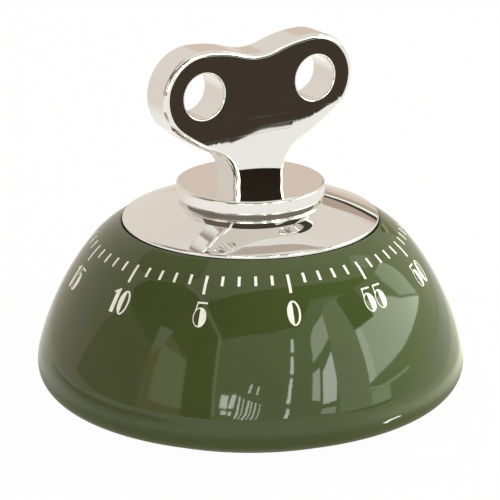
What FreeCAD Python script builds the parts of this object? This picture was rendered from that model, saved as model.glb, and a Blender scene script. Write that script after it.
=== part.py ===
import FreeCAD, Part
import os
from math import atan2, cos, hypot, pi, radians, sin, sqrt
import Sketcher
from FreeCAD import Placement, Rotation, Vector
from PartDesign.fcgear.fcgear import FCWireBuilder
from PartDesign.fcgear.involute import CreateExternalGear

# Wind-up kitchen timer: a dome housing with a minute scale, a turning cap with a butterfly key,
# and a spring movement with a hammer and a bell inside.
# Millimetres. +Z is up, the origin is the centre of the resting face of the foot pad, and at rest
# the key's broad face looks along -Y. Turning the key clockwise, seen from above, winds it.

doc = FreeCAD.newDocument("KitchenTimer")
sheet = doc.addObject("Spreadsheet::Sheet", "Sizes")

DRIVING = {
    # housing: three arcs from the rim down to the widest place, two more in to the base
    "wall": 2.0,
    "rim_radius": 26.85,
    "rim_top": 37.69,
    "shoulder_radius": 33.87,
    "shoulder_height": 31.91,
    "flank_radius": 44.14,
    "flank_height": 11.3,
    "widest_radius": 44.66,
    "widest_height": 7.39,
    "turn_in_radius": 41.11,
    "turn_in_height": 2.21,
    "lip_radius": 37.7,
    "lip_height": 1.0,
    "shoulder_arc": 20.78,
    "flank_arc": 58.27,
    "belly_arc": 15.0,
    "turn_in_arc": 5.56,
    "underside_arc": 60.0,
    "shelf_top": 35.3,
    "shelf_bottom": 33.6,
    "shelf_hole": 6.6,
    "shelf_outer": 29.4,
    "base_opening": 36.6,
    "base_ledge": 3.9,
    "boss_circle": 22.0,
    "boss_bearing": -10.0,
    "boss_radius": 2.6,
    "lug_inner": 30.6,
    "lug_outer": 41.4,
    "lug_width": 5.6,
    "lug_top": 8.4,
    "pilot_radius": 1.0,
    "pilot_spare": 0.4,
    "boss_overlap": 0.2,
    # base plate, foot pad and their screws
    "plate_underside": 1.6,
    "plate_top": 3.4,
    "plate_radius": 36.35,
    "centre_underside": 0.9,
    "pad_inner": 30.4,
    "pad_outer": 36.1,
    "slot_circle": 24.6,
    "slot_length": 9.0,
    "slot_width": 2.2,
    "base_screw_circle": 33.3,
    "screw_head_radius": 1.9,
    "screw_head": 0.7,
    "screw_shank": 0.95,
    "base_screw_length": 5.6,
    "shank_clearance": 0.2,
    "head_clearance": 0.15,
    "seat_depth_spare": 0.1,
    "pad_step": 0.3,
    # cap, disc and key
    "cap_radius": 26.6,
    "cap_edge_radius": 26.33,
    "cap_corner_height": 38.05,
    "cap_corner_arc": 0.45,
    "cap_apex": 44.13,
    "cap_sphere": 64.0,
    "cap_skirt": 36.0,
    "cap_wall": 1.3,
    "cap_hole": 4.0,
    "cap_flat_radius": 13.0,
    "disc_radius": 15.4,
    "disc_underside": 42.95,
    "disc_top": 45.97,
    "disc_round": 0.55,
    "seat_radius": 6.0,
    "spigot_radius": 3.85,
    "spigot_bottom": 37.4,
    "key_thickness": 7.8,
    "lobe_offset": 13.3,
    "lobe_height": 66.58,
    "lobe_radius": 9.4,
    "crest_arc": 28.4,
    "key_hole_offset": 13.4,
    "key_hole_height": 66.7,
    "key_hole_radius": 4.7,
    "saddle_height": 73.72,
    "saddle_arc": 11.9,
    "saddle_end": 3.93,
    "saddle_end_height": 74.39,
    "wing_radius": 19.13,
    "wing_height": 59.21,
    "wing_arc": 43.7,
    "armpit_radius": 10.0,
    "armpit_height": 53.65,
    "armpit_arc": 6.8,
    "neck_radius": 6.0,
    "neck_height": 47.45,
    "neck_foot": 6.08,
    "key_round": 1.1,
    "hole_round": 0.35,
    # hub and key screw
    "hub_radius": 5.6,
    "hub_bottom": 30.4,
    "hub_top": 41.5,
    "hub_collar": 10.5,
    "collar_bottom": 36.0,
    "collar_top": 37.0,
    "hub_bore": 2.02,
    "bore_top": 36.3,
    "web_top": 37.3,
    "screw_hole": 1.25,
    "key_screw_radius": 1.2,
    "key_screw_head": 1.85,
    "key_screw_base": 35.2,
    "key_screw_top": 49.6,
    "screw_hole_top": 50.4,
    # movement plates and posts
    "bottom_plate_base": 11.0,
    "top_plate_base": 27.0,
    "movement_plate": 1.0,
    "movement_radius": 30.4,
    "pillar_circle": 27.6,
    "pillar_radius": 1.7,
    "pillar_screw_radius": 0.8,
    "pillar_screw_head": 1.6,
    "pillar_screw_head_height": 0.8,
    "pillar_screw_length": 5.0,
    "movement_screw_length": 4.4,
    "pivot_radius": 0.5,
    "running_clearance": 0.05,
    "end_shake": 0.15,
    "arbor_radius": 0.9,
    "press_fit": 0.01,
    # spindle
    "spindle_radius": 2.0,
    "spindle_foot": 1.2,
    "spindle_top": 34.9,
    "washer_radius": 5.0,
    "washer_height": 0.9,
    "spindle_flange": 1.4,
    "flange_thickness": 0.9,
    "foot_overhang": 0.3,
    "clutch_ring": 1.6,
    "clutch_reach": 9.0,
    "clutch_arm": 1.4,
    "clutch_thickness": 0.3,
    # mainspring
    "spring_base": 12.6,
    "spring_width": 5.6,
    "spring_strip": 0.3,
    "spring_pitch": 1.0,
    "spring_inner": 2.6,
    "spring_turns": 9.0,
    "spring_post_radius": 1.0,
    "spring_post_rise": 1.2,
    # train
    "great_module": 0.5,
    "train_module": 0.4,
    "wheel_teeth": 60.0,
    "pinion_teeth": 10.0,
    "pressure_angle": 25.0,
    "mesh_slack": 0.1,
    "wheel_thickness": 0.9,
    "pinion_length": 2.0,
    "pinion_overlap": 0.4,
    "wheel_hub": 1.7,
    "wheel_arm": 1.6,
    "wheel_rim": 2.1,
    "great_wheel_base": 23.1,
    "second_wheel_base": 19.3,
    "third_wheel_base": 21.3,
    "escape_wheel_base": 15.2,
    "third_bearing": 112.0,
    "escape_bearing": 150.0,
    # escapement
    "escape_teeth": 15.0,
    "escape_radius": 7.0,
    "escape_root": 5.1,
    "escape_rim": 1.2,
    "escape_hub": 1.2,
    "anchor_bearing": 186.0,
    "anchor_distance": 10.2,
    "pallet_clearance": 0.65,
    "pallet_width": 1.0,
    "pallet_length": 2.4,
    "anchor_hub": 1.1,
    "anchor_arm_half": 0.6,
    "balance_half_length": 5.2,
    "balance_width": 2.2,
    "balance_base": 17.6,
    "balance_thickness": 1.4,
    "weight_radius": 1.65,
    "weight_lift": 0.2,
    "weight_height": 2.4,
    # trip cam, hammer and bell
    "cam_radius": 6.3,
    "cam_base": 25.1,
    "cam_thickness": 0.9,
    "cam_notch": 1.2,
    "notch_half_width": 0.9,
    "hammer_x": -20.0,
    "hammer_y": -12.0,
    "detent_tip_x": -1.0,
    "detent_tip_y": -7.6,
    "head_x": -7.7,
    "head_y": -21.2,
    "head_radius": 2.0,
    "head_base": 5.6,
    "lever_base": 8.4,
    "lever_thickness": 0.9,
    "lever_width": 1.8,
    "lever_hub": 1.0,
    "arbor_overhang": 0.4,
    "lever_hub_rise": 0.6,
    "head_rivet": 0.5,
    "rivet_rise": 0.3,
    "head_chamfer": 0.4,
    "detent_hole": 0.4,
    "leaf_root_x": -24.6,
    "leaf_root_y": -15.6,
    "leaf_tip_x": -13.95,
    "leaf_tip_y": -18.1,
    "leaf_thickness": 0.4,
    "leaf_width": 2.2,
    "leaf_drop": 0.8,
    "leaf_stud": 0.68,
    "bell_radius": 19.0,
    "bell_bottom": 4.2,
    "bell_top": 9.2,
    "bell_wall": 0.7,
    "bell_crown": 6.5,
    "bell_corner_arc": 14.5,
    "bell_post_radius": 3.0,
    "bell_screw_radius": 1.2,
    "bell_screw_head": 2.4,
    "bell_screw_rise": 1.0,
}

for row, (alias, number) in enumerate(DRIVING.items(), start=1):
    sheet.set(f"A{row}", alias.replace("_", " "))
    sheet.set(f"B{row}", str(number))
    sheet.setAlias(f"B{row}", alias)
doc.recompute()


class Size:
    """A length or angle together with the sheet expression that it comes from."""

    def __init__(self, value, text):
        self.value = value
        self.text = text

    def combine(self, sign, other, value):
        return Size(value, f"({self.text} {sign} {other.text})")

    def __add__(self, other):
        other = as_size(other)
        return self.combine("+", other, self.value + other.value)

    def __sub__(self, other):
        other = as_size(other)
        return self.combine("-", other, self.value - other.value)

    def __mul__(self, other):
        other = as_size(other)
        return self.combine("*", other, self.value * other.value)

    def __truediv__(self, other):
        other = as_size(other)
        return self.combine("/", other, self.value / other.value)

    def __neg__(self):
        return Size(-self.value, f"(0 - {self.text})")

    __radd__ = __add__
    __rmul__ = __mul__


def as_size(quantity):
    if isinstance(quantity, Size):
        return quantity
    return Size(float(quantity), f"{float(quantity):.6f}")


def size(alias):
    return Size(float(sheet.get(alias)), f"Sizes.{alias}")


def number(alias):
    return float(sheet.get(alias))


def cosine(angle):
    return Size(cos(radians(angle.value)), f"cos({angle.text})")


def sine(angle):
    return Size(sin(radians(angle.value)), f"sin({angle.text})")


def square_root(quantity):
    return Size(sqrt(quantity.value), f"sqrt({quantity.text})")


def bind(thing, prop, quantity):
    """Set a property of an object and bind it to the sheet."""
    quantity = as_size(quantity)
    if prop.isidentifier():
        setattr(thing, prop, quantity.value)
    if "Sizes" in quantity.text:
        thing.setExpression(prop, quantity.text)


def place(thing, x=0, y=0, angle=0):
    x, y, angle = as_size(x), as_size(y), as_size(angle)
    thing.Placement = Placement(Vector(x.value, y.value, 0), Rotation(Vector(0, 0, 1), angle.value))
    bind(thing, "Placement.Base.x", x)
    bind(thing, "Placement.Base.y", y)


# ---------------------------------------------------------------- sketches and bodies

pieces = []


def new_body(name):
    body = doc.addObject("PartDesign::Body", name)
    body.Label = name
    pieces.append(body)
    return body


def new_sketch(body, role, offset=0):
    """A sketch on one of the body's own origin planes, lifted along its normal by offset."""
    plane = next(f for f in body.Origin.OriginFeatures if f.Role == role)
    sketch = body.newObject("Sketcher::SketchObject", f"{body.Name}_sketch")
    sketch.AttachmentSupport = [(plane, "")]
    sketch.MapMode = "FlatFace"
    offset = as_size(offset)
    sketch.AttachmentOffset = Placement(Vector(0, 0, offset.value), Rotation())
    bind(sketch, "AttachmentOffset.Base.z", offset)
    return sketch


def fix_point(sketch, side, end, x, y):
    for kind, quantity in (("DistanceX", x), ("DistanceY", y)):
        index = sketch.addConstraint(Sketcher.Constraint(kind, side, end, quantity.value))
        bind(sketch, f"Constraints[{index}]", quantity)


def arc_geometry(start, finish, radius):
    """The short arc between two points: a positive radius turns left, a negative one right."""
    reach = hypot(finish[0] - start[0], finish[1] - start[1])
    left = (-(finish[1] - start[1]) / reach, (finish[0] - start[0]) / reach)
    height = sqrt(radius**2 - reach**2 / 4) * (1 if radius > 0 else -1)
    centre = [(start[i] + finish[i]) / 2 + left[i] * height for i in (0, 1)]
    first, last = (start, finish) if radius > 0 else (finish, start)
    begin = atan2(first[1] - centre[1], first[0] - centre[0])
    stop = atan2(last[1] - centre[1], last[0] - centre[0])
    if stop < begin:
        stop += 2 * pi
    circle = Part.Circle(Vector(*centre, 0), Vector(0, 0, 1), abs(radius))
    return Part.ArcOfCircle(circle, begin, stop)


def draw_outline(sketch, corners):
    """Draw a closed outline. A corner is (x, y), or (x, y, radius) if an arc leaves it."""
    corners = [tuple(as_size(part) for part in corner) for corner in corners]
    ends = []
    for here, after in zip(corners, corners[1:] + corners[:1]):
        start, finish = [(c[0].value, c[1].value) for c in (here, after)]
        if len(here) == 2:
            side = sketch.addGeometry(Part.LineSegment(Vector(*start, 0), Vector(*finish, 0)))
            ends.append((side, 1, 2))
            continue
        radius = here[2]
        side = sketch.addGeometry(arc_geometry(start, finish, radius.value))
        ends.append((side, 1, 2) if radius.value > 0 else (side, 2, 1))
        index = sketch.addConstraint(Sketcher.Constraint("Radius", side, abs(radius.value)))
        bind(sketch, f"Constraints[{index}]", radius if radius.value > 0 else -radius)
    for corner, (side, begin, _), (before, _, stop) in zip(corners, ends, ends[-1:] + ends[:-1]):
        fix_point(sketch, side, begin, corner[0], corner[1])
        sketch.addConstraint(Sketcher.Constraint("Coincident", before, stop, side, begin))


def draw_circle(sketch, x, y, radius):
    x, y, radius = as_size(x), as_size(y), as_size(radius)
    circle = Part.Circle(Vector(x.value, y.value, 0), Vector(0, 0, 1), radius.value)
    side = sketch.addGeometry(circle)
    fix_point(sketch, side, 3, x, y)
    index = sketch.addConstraint(Sketcher.Constraint("Radius", side, radius.value))
    bind(sketch, f"Constraints[{index}]", radius)


def revolve(body, corners, circle_radius=None):
    """Turn an (r, z) outline about Z, or about an upright line at circle_radius on X."""
    sketch = new_sketch(body, "XZ_Plane")
    shift = as_size(circle_radius or 0)
    draw_outline(sketch, [(shift + c[0], *c[1:]) for c in corners])
    turning = body.newObject("PartDesign::Revolution", f"{body.Name}_turned")
    turning.Profile = sketch
    axis = "V_Axis"
    if circle_radius is not None:
        line = Part.LineSegment(Vector(shift.value, 0, 0), Vector(shift.value, 1, 0))
        side = sketch.addGeometry(line, True)
        fix_point(sketch, side, 1, shift, as_size(0))
        fix_point(sketch, side, 2, shift, as_size(1))
        axis = "Axis0"
    turning.ReferenceAxis = (sketch, [axis])
    turning.Angle = 360
    return turning


def turned(name, corners, **where):
    body = new_body(name)
    revolve(body, corners)
    place(body, **where)
    return body


def turned_group(name, corners, circle_radius, count, angle=0):
    """A ring of equal turned pieces, kept in one node as separate solids."""
    body = new_body(name)
    first = revolve(body, corners, circle_radius)
    ring_pattern(body, [first], count)
    place(body, angle=angle)
    return body


def ring_pattern(body, features, count):
    pattern = body.newObject("PartDesign::PolarPattern", f"{body.Name}_ring")
    pattern.Originals = features
    axis = next(f for f in body.Origin.OriginFeatures if f.Role == "Z_Axis")
    pattern.Axis = (axis, [""])
    pattern.Angle = 360
    pattern.Occurrences = count
    body.Tip = pattern
    return pattern


def rod(radius, bottom, top, inner=0):
    return [(inner, bottom), (radius, bottom), (radius, top), (inner, top)]


def pad(body, draw, base, height):
    """Pad what draw() puts on a level sketch at height base."""
    sketch = new_sketch(body, "XY_Plane", base)
    draw(sketch)
    feature = body.newObject("PartDesign::Pad", f"{body.Name}_pad")
    feature.Profile = sketch
    bind(feature, "Length", height)
    return feature


def pocket(body, draw, base, height):
    """Cut upwards from height base. The cut must remove something."""
    doc.recompute()
    before = body.Shape.Volume
    sketch = new_sketch(body, "XY_Plane", base)
    draw(sketch)
    feature = body.newObject("PartDesign::Pocket", f"{body.Name}_pocket")
    feature.Profile = sketch
    feature.Reversed = True
    bind(feature, "Length", height)
    doc.recompute()
    assert body.Shape.Volume < before - 1e-3, f"{body.Name}: the pocket cuts nothing"
    return feature


def box_corners(x_low, x_high, half_width):
    return [(x_low, -half_width), (x_high, -half_width), (x_high, half_width), (x_low, half_width)]


def slot_corners(start, finish, width):
    """A bar with round ends between two points."""
    run = [finish[0] - start[0], finish[1] - start[1]]
    share = width / 2 / square_root(run[0] * run[0] + run[1] * run[1])
    across = [run[1] * share, -run[0] * share]
    along = [run[0] * share, run[1] * share]
    radius = width / 2
    return [
        (start[0] + across[0], start[1] + across[1]),
        (finish[0] + across[0], finish[1] + across[1], radius),
        (finish[0] + along[0], finish[1] + along[1], radius),
        (finish[0] - across[0], finish[1] - across[1]),
        (start[0] - across[0], start[1] - across[1], radius),
        (start[0] - along[0], start[1] - along[1], radius),
    ]


def computed(name, shape, x=0.0, y=0.0, angle=0.0):
    """A piece whose curve comes from a formula: gears, the mainspring and the anchor."""
    feature = doc.addObject("Part::Feature", name)
    feature.Label = name
    feature.Shape = shape
    feature.Placement = Placement(Vector(x, y, 0), Rotation(Vector(0, 0, 1), angle))
    pieces.append(feature)
    return feature


# ---------------------------------------------------------------- housing

wall = size("wall")


def on_circle(radius_alias, bearing):
    radius = size(radius_alias)
    return (radius * cosine(bearing), radius * sine(bearing))


def inset(corner, centre, radius):
    """The point of the inner wall behind an outer corner, on the arc about centre."""
    share = (radius - wall) / radius
    return [centre[i] + (corner[i] - centre[i]) * share for i in (0, 1)]


def arc_centre(start, finish, radius):
    """Centre of the left-turning arc from start to finish, as sizes."""
    half_x = (finish[0] - start[0]) / 2
    half_y = (finish[1] - start[1]) / 2
    square = half_x * half_x + half_y * half_y
    share = square_root(radius * radius / square - 1)
    return [start[0] + half_x - half_y * share, start[1] + half_y + half_x * share]


rim = (size("rim_radius"), size("rim_top"))
shoulder = (size("shoulder_radius"), size("shoulder_height"))
flank = (size("flank_radius"), size("flank_height"))
widest = (size("widest_radius"), size("widest_height"))
turn_in = (size("turn_in_radius"), size("turn_in_height"))
lip = (size("lip_radius"), size("lip_height"))
flank_centre = arc_centre(flank, shoulder, size("flank_arc"))
belly_centre = arc_centre(widest, flank, size("belly_arc"))
turn_in_centre = arc_centre(turn_in, widest, size("turn_in_arc"))
inner_shoulder = inset(shoulder, flank_centre, size("flank_arc"))
inner_flank = inset(flank, flank_centre, size("flank_arc"))
inner_widest = inset(widest, belly_centre, size("belly_arc"))
inner_arc = size("turn_in_arc") - wall
ledge = size("base_ledge")
opening = size("base_opening")

housing = new_body("housing_shell")
revolve(
    housing,
    [
        (opening, lip[1]),
        (*lip, size("underside_arc")),
        (*turn_in, size("turn_in_arc")),
        (*widest, size("belly_arc")),
        (*flank, size("flank_arc")),
        (*shoulder, size("shoulder_arc")),
        rim,
        (rim[0], size("shelf_top")),
        (size("shelf_hole"), size("shelf_top")),
        (size("shelf_hole"), size("shelf_bottom")),
        (size("shelf_outer"), size("shelf_bottom")),
        (*inner_shoulder, -(size("flank_arc") - wall)),
        (*inner_flank, -(size("belly_arc") - wall)),
        (*inner_widest, -inner_arc),
        (turn_in_centre[0], ledge),
        (opening, ledge),
    ],
)
boss_at = on_circle("boss_circle", size("boss_bearing"))
boss = pad(
    housing,
    lambda sketch: draw_circle(sketch, *boss_at, size("boss_radius")),
    size("top_plate_base") + size("movement_plate"),
    size("shelf_bottom") - size("top_plate_base") - size("movement_plate") + size("boss_overlap"),
)
lug = pad(
    housing,
    lambda sketch: draw_outline(
        sketch, box_corners(size("lug_inner"), size("lug_outer"), size("lug_width") / 2)
    ),
    size("plate_top"),
    size("lug_top") - size("plate_top"),
)
boss_pilot = pocket(
    housing,
    lambda sketch: draw_circle(sketch, *boss_at, size("pilot_radius")),
    size("top_plate_base") + size("movement_plate"),
    size("movement_screw_length") - size("movement_plate") + size("pilot_spare"),
)
lug_pilot = pocket(
    housing,
    lambda sketch: draw_circle(sketch, size("base_screw_circle"), 0, size("pilot_radius")),
    size("plate_top"),
    size("lug_top") - size("plate_top"),
)
ring_pattern(housing, [boss, lug, boss_pilot, lug_pilot], 3)
place(housing)

# ---------------------------------------------------------------- base

base = new_body("base_plate")
revolve(
    base,
    [
        (0, size("centre_underside")),
        (size("pad_inner") - size("pad_step"), size("centre_underside")),
        (size("pad_inner") - size("pad_step"), size("plate_underside")),
        (size("plate_radius"), size("plate_underside")),
        (size("plate_radius"), size("plate_top")),
        (0, size("plate_top")),
    ],
)
plate_depth = size("plate_top") - size("centre_underside")
sound_slot = pocket(
    base,
    lambda sketch: draw_outline(
        sketch,
        slot_corners(
            (size("slot_circle") - size("slot_length") / 2, as_size(0)),
            (size("slot_circle") + size("slot_length") / 2 - size("slot_width"), as_size(0)),
            size("slot_width"),
        ),
    ),
    size("centre_underside"),
    plate_depth,
)
ring_pattern(base, [sound_slot], 16)
screw_hole = pocket(
    base,
    lambda sketch: draw_circle(
        sketch, size("base_screw_circle"), 0, size("pilot_radius") + size("shank_clearance")
    ),
    size("plate_underside"),
    plate_depth,
)
screw_seat = pocket(
    base,
    lambda sketch: draw_circle(
        sketch, size("base_screw_circle"), 0, size("screw_head_radius") + size("head_clearance")
    ),
    size("plate_underside"),
    size("screw_head") + size("seat_depth_spare"),
)
ring_pattern(base, [screw_hole, screw_seat], 3)
place(base)

turned("foot_pad", rod(size("pad_outer"), 0, size("plate_underside"), size("pad_inner")))


SOCKET_SHARE = 0.4
SOCKET_DEPTH_SHARE = 0.5


def screw_outline(head_radius, head_base, head_height, shank_radius, tip, upwards=True):
    """Half section of a pan-head screw with its drive socket, pointing up or down."""
    turn = 1 if upwards else -1
    socket = head_radius * SOCKET_SHARE
    neck = head_base + head_height * turn
    corners = [
        (0, head_base + head_height * SOCKET_DEPTH_SHARE * turn),
        (socket, head_base + head_height * SOCKET_SHARE * turn),
        (socket, head_base),
        (head_radius, head_base),
        (head_radius, neck),
        (shank_radius, neck),
        (shank_radius, tip - shank_radius * turn),
        (shank_radius * SOCKET_SHARE, tip),
        (0, tip),
    ]
    return corners if upwards else corners[::-1]


screw_base = size("plate_underside") + size("running_clearance")
turned_group(
    "base_screws",
    screw_outline(
        size("screw_head_radius"),
        screw_base,
        size("screw_head"),
        size("screw_shank"),
        screw_base + size("base_screw_length"),
    ),
    size("base_screw_circle"),
    3,
)

# ---------------------------------------------------------------- cap, disc, key and hub



def dome_height(radius, sphere, apex):
    """Height of the cap's dome at a radius."""
    return apex - sphere + square_root(sphere * sphere - radius * radius)


cap_sphere = size("cap_sphere")
cap_apex = size("cap_apex")
cap_wall = size("cap_wall")
cap_edge = size("cap_edge_radius")
flat_radius = size("cap_flat_radius")
flat_height = dome_height(flat_radius, cap_sphere, cap_apex)
skirt_inner = size("cap_radius") - cap_wall
inner_sphere = cap_sphere - cap_wall
inner_apex = cap_apex - cap_wall
inner_flat = flat_radius * inner_sphere / cap_sphere
inner_flat_height = dome_height(inner_flat, inner_sphere, inner_apex)
turned(
    "cap_shell",
    [
        (skirt_inner, size("cap_skirt")),
        (size("cap_radius"), size("cap_skirt")),
        (size("cap_radius"), size("cap_corner_height"), size("cap_corner_arc")),
        (cap_edge, dome_height(cap_edge, cap_sphere, cap_apex), cap_sphere),
        (flat_radius, flat_height),
        (size("cap_hole"), flat_height),
        (size("cap_hole"), inner_flat_height),
        (inner_flat, inner_flat_height, -inner_sphere),
        (skirt_inner, dome_height(skirt_inner, inner_sphere, inner_apex)),
    ],
)

disc_radius = size("disc_radius")
disc_round = size("disc_round")
spigot_bottom = size("spigot_bottom")
screw_clearance = size("screw_hole")
turned(
    "key_disc",
    [
        (screw_clearance, spigot_bottom),
        (size("spigot_radius"), spigot_bottom),
        (size("spigot_radius"), flat_height),
        (size("seat_radius"), flat_height),
        (size("seat_radius"), size("disc_underside")),
        (disc_radius - disc_round, size("disc_underside"), disc_round),
        (disc_radius, size("disc_underside") + disc_round),
        (disc_radius, size("disc_top") - disc_round, disc_round),
        (disc_radius - disc_round, size("disc_top")),
        (screw_clearance, size("disc_top")),
    ],
)

key = new_body("key_grip")
key_half = [
    (size("neck_foot"), size("disc_top")),
    (size("neck_radius"), size("neck_height"), -size("armpit_arc")),
    (size("armpit_radius"), size("armpit_height"), size("wing_arc")),
    (size("wing_radius"), size("wing_height"), size("lobe_radius")),
    (size("lobe_offset"), size("lobe_height") + size("lobe_radius"), size("crest_arc")),
    (size("saddle_end"), size("saddle_end_height"), -size("saddle_arc")),
]


def mirrored_outline(half, top):
    """Close a right-hand half, walked upwards, with its mirror image, walked downwards."""
    arcs = [corner[2:] for corner in half]
    left = [(-corner[0], corner[1]) for corner in reversed(half)]
    left = [(*corner, *arc) for corner, arc in zip(left, arcs[-2::-1] + [()])]
    return half + [(as_size(0), top, *arcs[-1])] + left


key_sketch = new_sketch(key, "XZ_Plane")
draw_outline(key_sketch, mirrored_outline(key_half, size("saddle_height")))
for side in (1, -1):
    draw_circle(
        key_sketch,
        size("key_hole_offset") * side,
        size("key_hole_height"),
        size("key_hole_radius"),
    )
key_pad = key.newObject("PartDesign::Pad", "key_pad")
key_pad.Profile = key_sketch
key_pad.SideType = "Symmetric"
bind(key_pad, "Length", size("key_thickness"))
doc.recompute()
face_y = number("key_thickness") / 2
foot_z = number("disc_top")


def on_broad_face(edge):
    box = edge.BoundBox
    return box.YLength < 1e-6 and abs(abs(box.YMax) - face_y) < 1e-6 and box.ZMax > foot_z + 1e-6


def is_hole_edge(edge):
    return isinstance(edge.Curve, Part.Circle) and len(edge.Vertexes) == 1


for label, wanted, alias in (("outer", False, "key_round"), ("hole", True, "hole_round")):
    doc.recompute()
    names = [
        f"Edge{index}"
        for index, edge in enumerate(key.Shape.Edges, start=1)
        if on_broad_face(edge) and is_hole_edge(edge) == wanted
    ]
    unrounded = key.Tip
    rounding = key.newObject("PartDesign::Fillet", f"key_{label}_round")
    rounding.Base = (unrounded, names)
    bind(rounding, "Radius", size(alias))
    key.Tip = rounding
pocket(
    key,
    lambda sketch: draw_circle(sketch, 0, 0, screw_clearance),
    size("disc_top"),
    size("screw_hole_top") - size("disc_top"),
)
place(key)

clearance = size("running_clearance")
turned(
    "knob_hub",
    [
        (size("hub_bore"), size("hub_bottom")),
        (size("hub_radius"), size("hub_bottom")),
        (size("hub_radius"), size("collar_bottom")),
        (size("hub_collar"), size("collar_bottom")),
        (size("hub_collar"), size("collar_top")),
        (size("hub_radius"), size("collar_top")),
        (size("hub_radius"), size("hub_top")),
        (size("spigot_radius") + clearance, size("hub_top")),
        (size("spigot_radius") + clearance, size("web_top")),
        (screw_clearance, size("web_top")),
        (screw_clearance, size("bore_top")),
        (size("hub_bore"), size("bore_top")),
    ],
)
turned(
    "key_screw",
    screw_outline(
        size("key_screw_head"),
        size("key_screw_base"),
        size("bore_top") - size("key_screw_base"),
        size("key_screw_radius"),
        size("key_screw_top"),
    ),
)

# ---------------------------------------------------------------- places of the arbors

mesh_slack = size("mesh_slack")
mean_teeth = (size("wheel_teeth") + size("pinion_teeth")) / 2
great_reach = size("great_module") * mean_teeth + mesh_slack
train_reach = size("train_module") * mean_teeth + mesh_slack
second_at = (great_reach, as_size(0))


def beyond(start, reach, bearing):
    return (start[0] + reach * cosine(bearing), start[1] + reach * sine(bearing))


third_at = beyond(second_at, train_reach, size("third_bearing"))
escape_at = beyond(third_at, train_reach, size("escape_bearing"))
anchor_at = beyond(escape_at, size("anchor_distance"), size("anchor_bearing"))
hammer_at = (size("hammer_x"), size("hammer_y"))
small_pivots = [second_at, third_at, escape_at, anchor_at]

# ---------------------------------------------------------------- movement frame

bottom_base = size("bottom_plate_base")
bottom_top = bottom_base + size("movement_plate")
top_base = size("top_plate_base")
top_top = top_base + size("movement_plate")
PILLAR_BEARINGS = [75, 140, 225, 320]
pillars_at = [on_circle("pillar_circle", as_size(bearing)) for bearing in PILLAR_BEARINGS]


def movement_plate(name, base_height, spindle_hole, hammer_hole):
    def draw(sketch):
        draw_circle(sketch, 0, 0, size("movement_radius"))
        draw_circle(sketch, 0, 0, spindle_hole + clearance)
        draw_circle(sketch, *hammer_at, hammer_hole + clearance)
        for place_of_pivot in small_pivots:
            draw_circle(sketch, *place_of_pivot, size("pivot_radius") + clearance)
        for centre in pillars_at:
            draw_circle(sketch, *centre, size("pillar_screw_radius") + clearance)

    body = new_body(name)
    pad(body, draw, base_height, size("movement_plate"))
    place(body)
    return body


top_plate = movement_plate("top_plate", top_base, size("spindle_radius"), size("pivot_radius"))
boss_hole = pocket(
    top_plate,
    lambda sketch: draw_circle(sketch, *boss_at, size("pilot_radius") + clearance),
    top_base,
    size("movement_plate"),
)
ring_pattern(top_plate, [boss_hole], 3)
movement_plate("bottom_plate", bottom_base, size("spindle_foot"), size("arbor_radius"))


def at_each_pillar(*radii):
    def draw(sketch):
        for centre in pillars_at:
            for radius in radii:
                draw_circle(sketch, *centre, radius)

    return draw


press_fit = size("press_fit")
pillars = new_body("pillars")
pillar_bore = size("pillar_screw_radius") + press_fit
pad(pillars, at_each_pillar(size("pillar_radius"), pillar_bore), bottom_top, top_base - bottom_top)
place(pillars)


def pillar_screws(name, seat_height, upwards):
    """Four screws whose heads sit on a plate and whose shanks reach into the pillars."""
    body = new_body(name)
    head, reach = size("pillar_screw_head_height"), size("pillar_screw_length")
    head_base = seat_height - head if upwards else seat_height
    shank_base = seat_height if upwards else seat_height - reach
    pad(body, at_each_pillar(size("pillar_screw_head")), head_base, head)
    pad(body, at_each_pillar(size("pillar_screw_radius")), shank_base, reach)
    socket_base = head_base if upwards else seat_height + head / 2
    pocket(body, at_each_pillar(size("pillar_screw_radius")), socket_base, head / 2)
    place(body)


pillar_screws("pillar_screws_top", top_top, False)
pillar_screws("pillar_screws_bottom", bottom_base, True)
turned_group(
    "movement_screws",
    screw_outline(
        size("screw_head_radius"),
        top_base - size("screw_head"),
        size("screw_head"),
        size("screw_shank"),
        top_base + size("movement_screw_length"),
    ),
    size("boss_circle"),
    3,
    number("boss_bearing"),
)

# ---------------------------------------------------------------- spindle and what sits on it

seat = size("great_wheel_base")
spindle_shoulder = size("spindle_radius") + size("spindle_flange")
flange_base = seat - size("flange_thickness")
turned(
    "main_arbor",
    [
        (0, bottom_base - size("foot_overhang")),
        (size("spindle_foot"), bottom_base - size("foot_overhang")),
        (size("spindle_foot"), bottom_top + size("end_shake")),
        (size("spindle_radius"), bottom_top + size("end_shake")),
        (size("spindle_radius"), flange_base),
        (spindle_shoulder, flange_base),
        (spindle_shoulder, seat),
        (size("spindle_radius"), seat),
        (size("spindle_radius"), size("spindle_top")),
        (0, size("spindle_top")),
    ],
)
turned(
    "friction_washer",
    rod(
        size("washer_radius"),
        top_top + press_fit,
        top_top + size("washer_height"),
        size("spindle_radius") + clearance,
    ),
)


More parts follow.
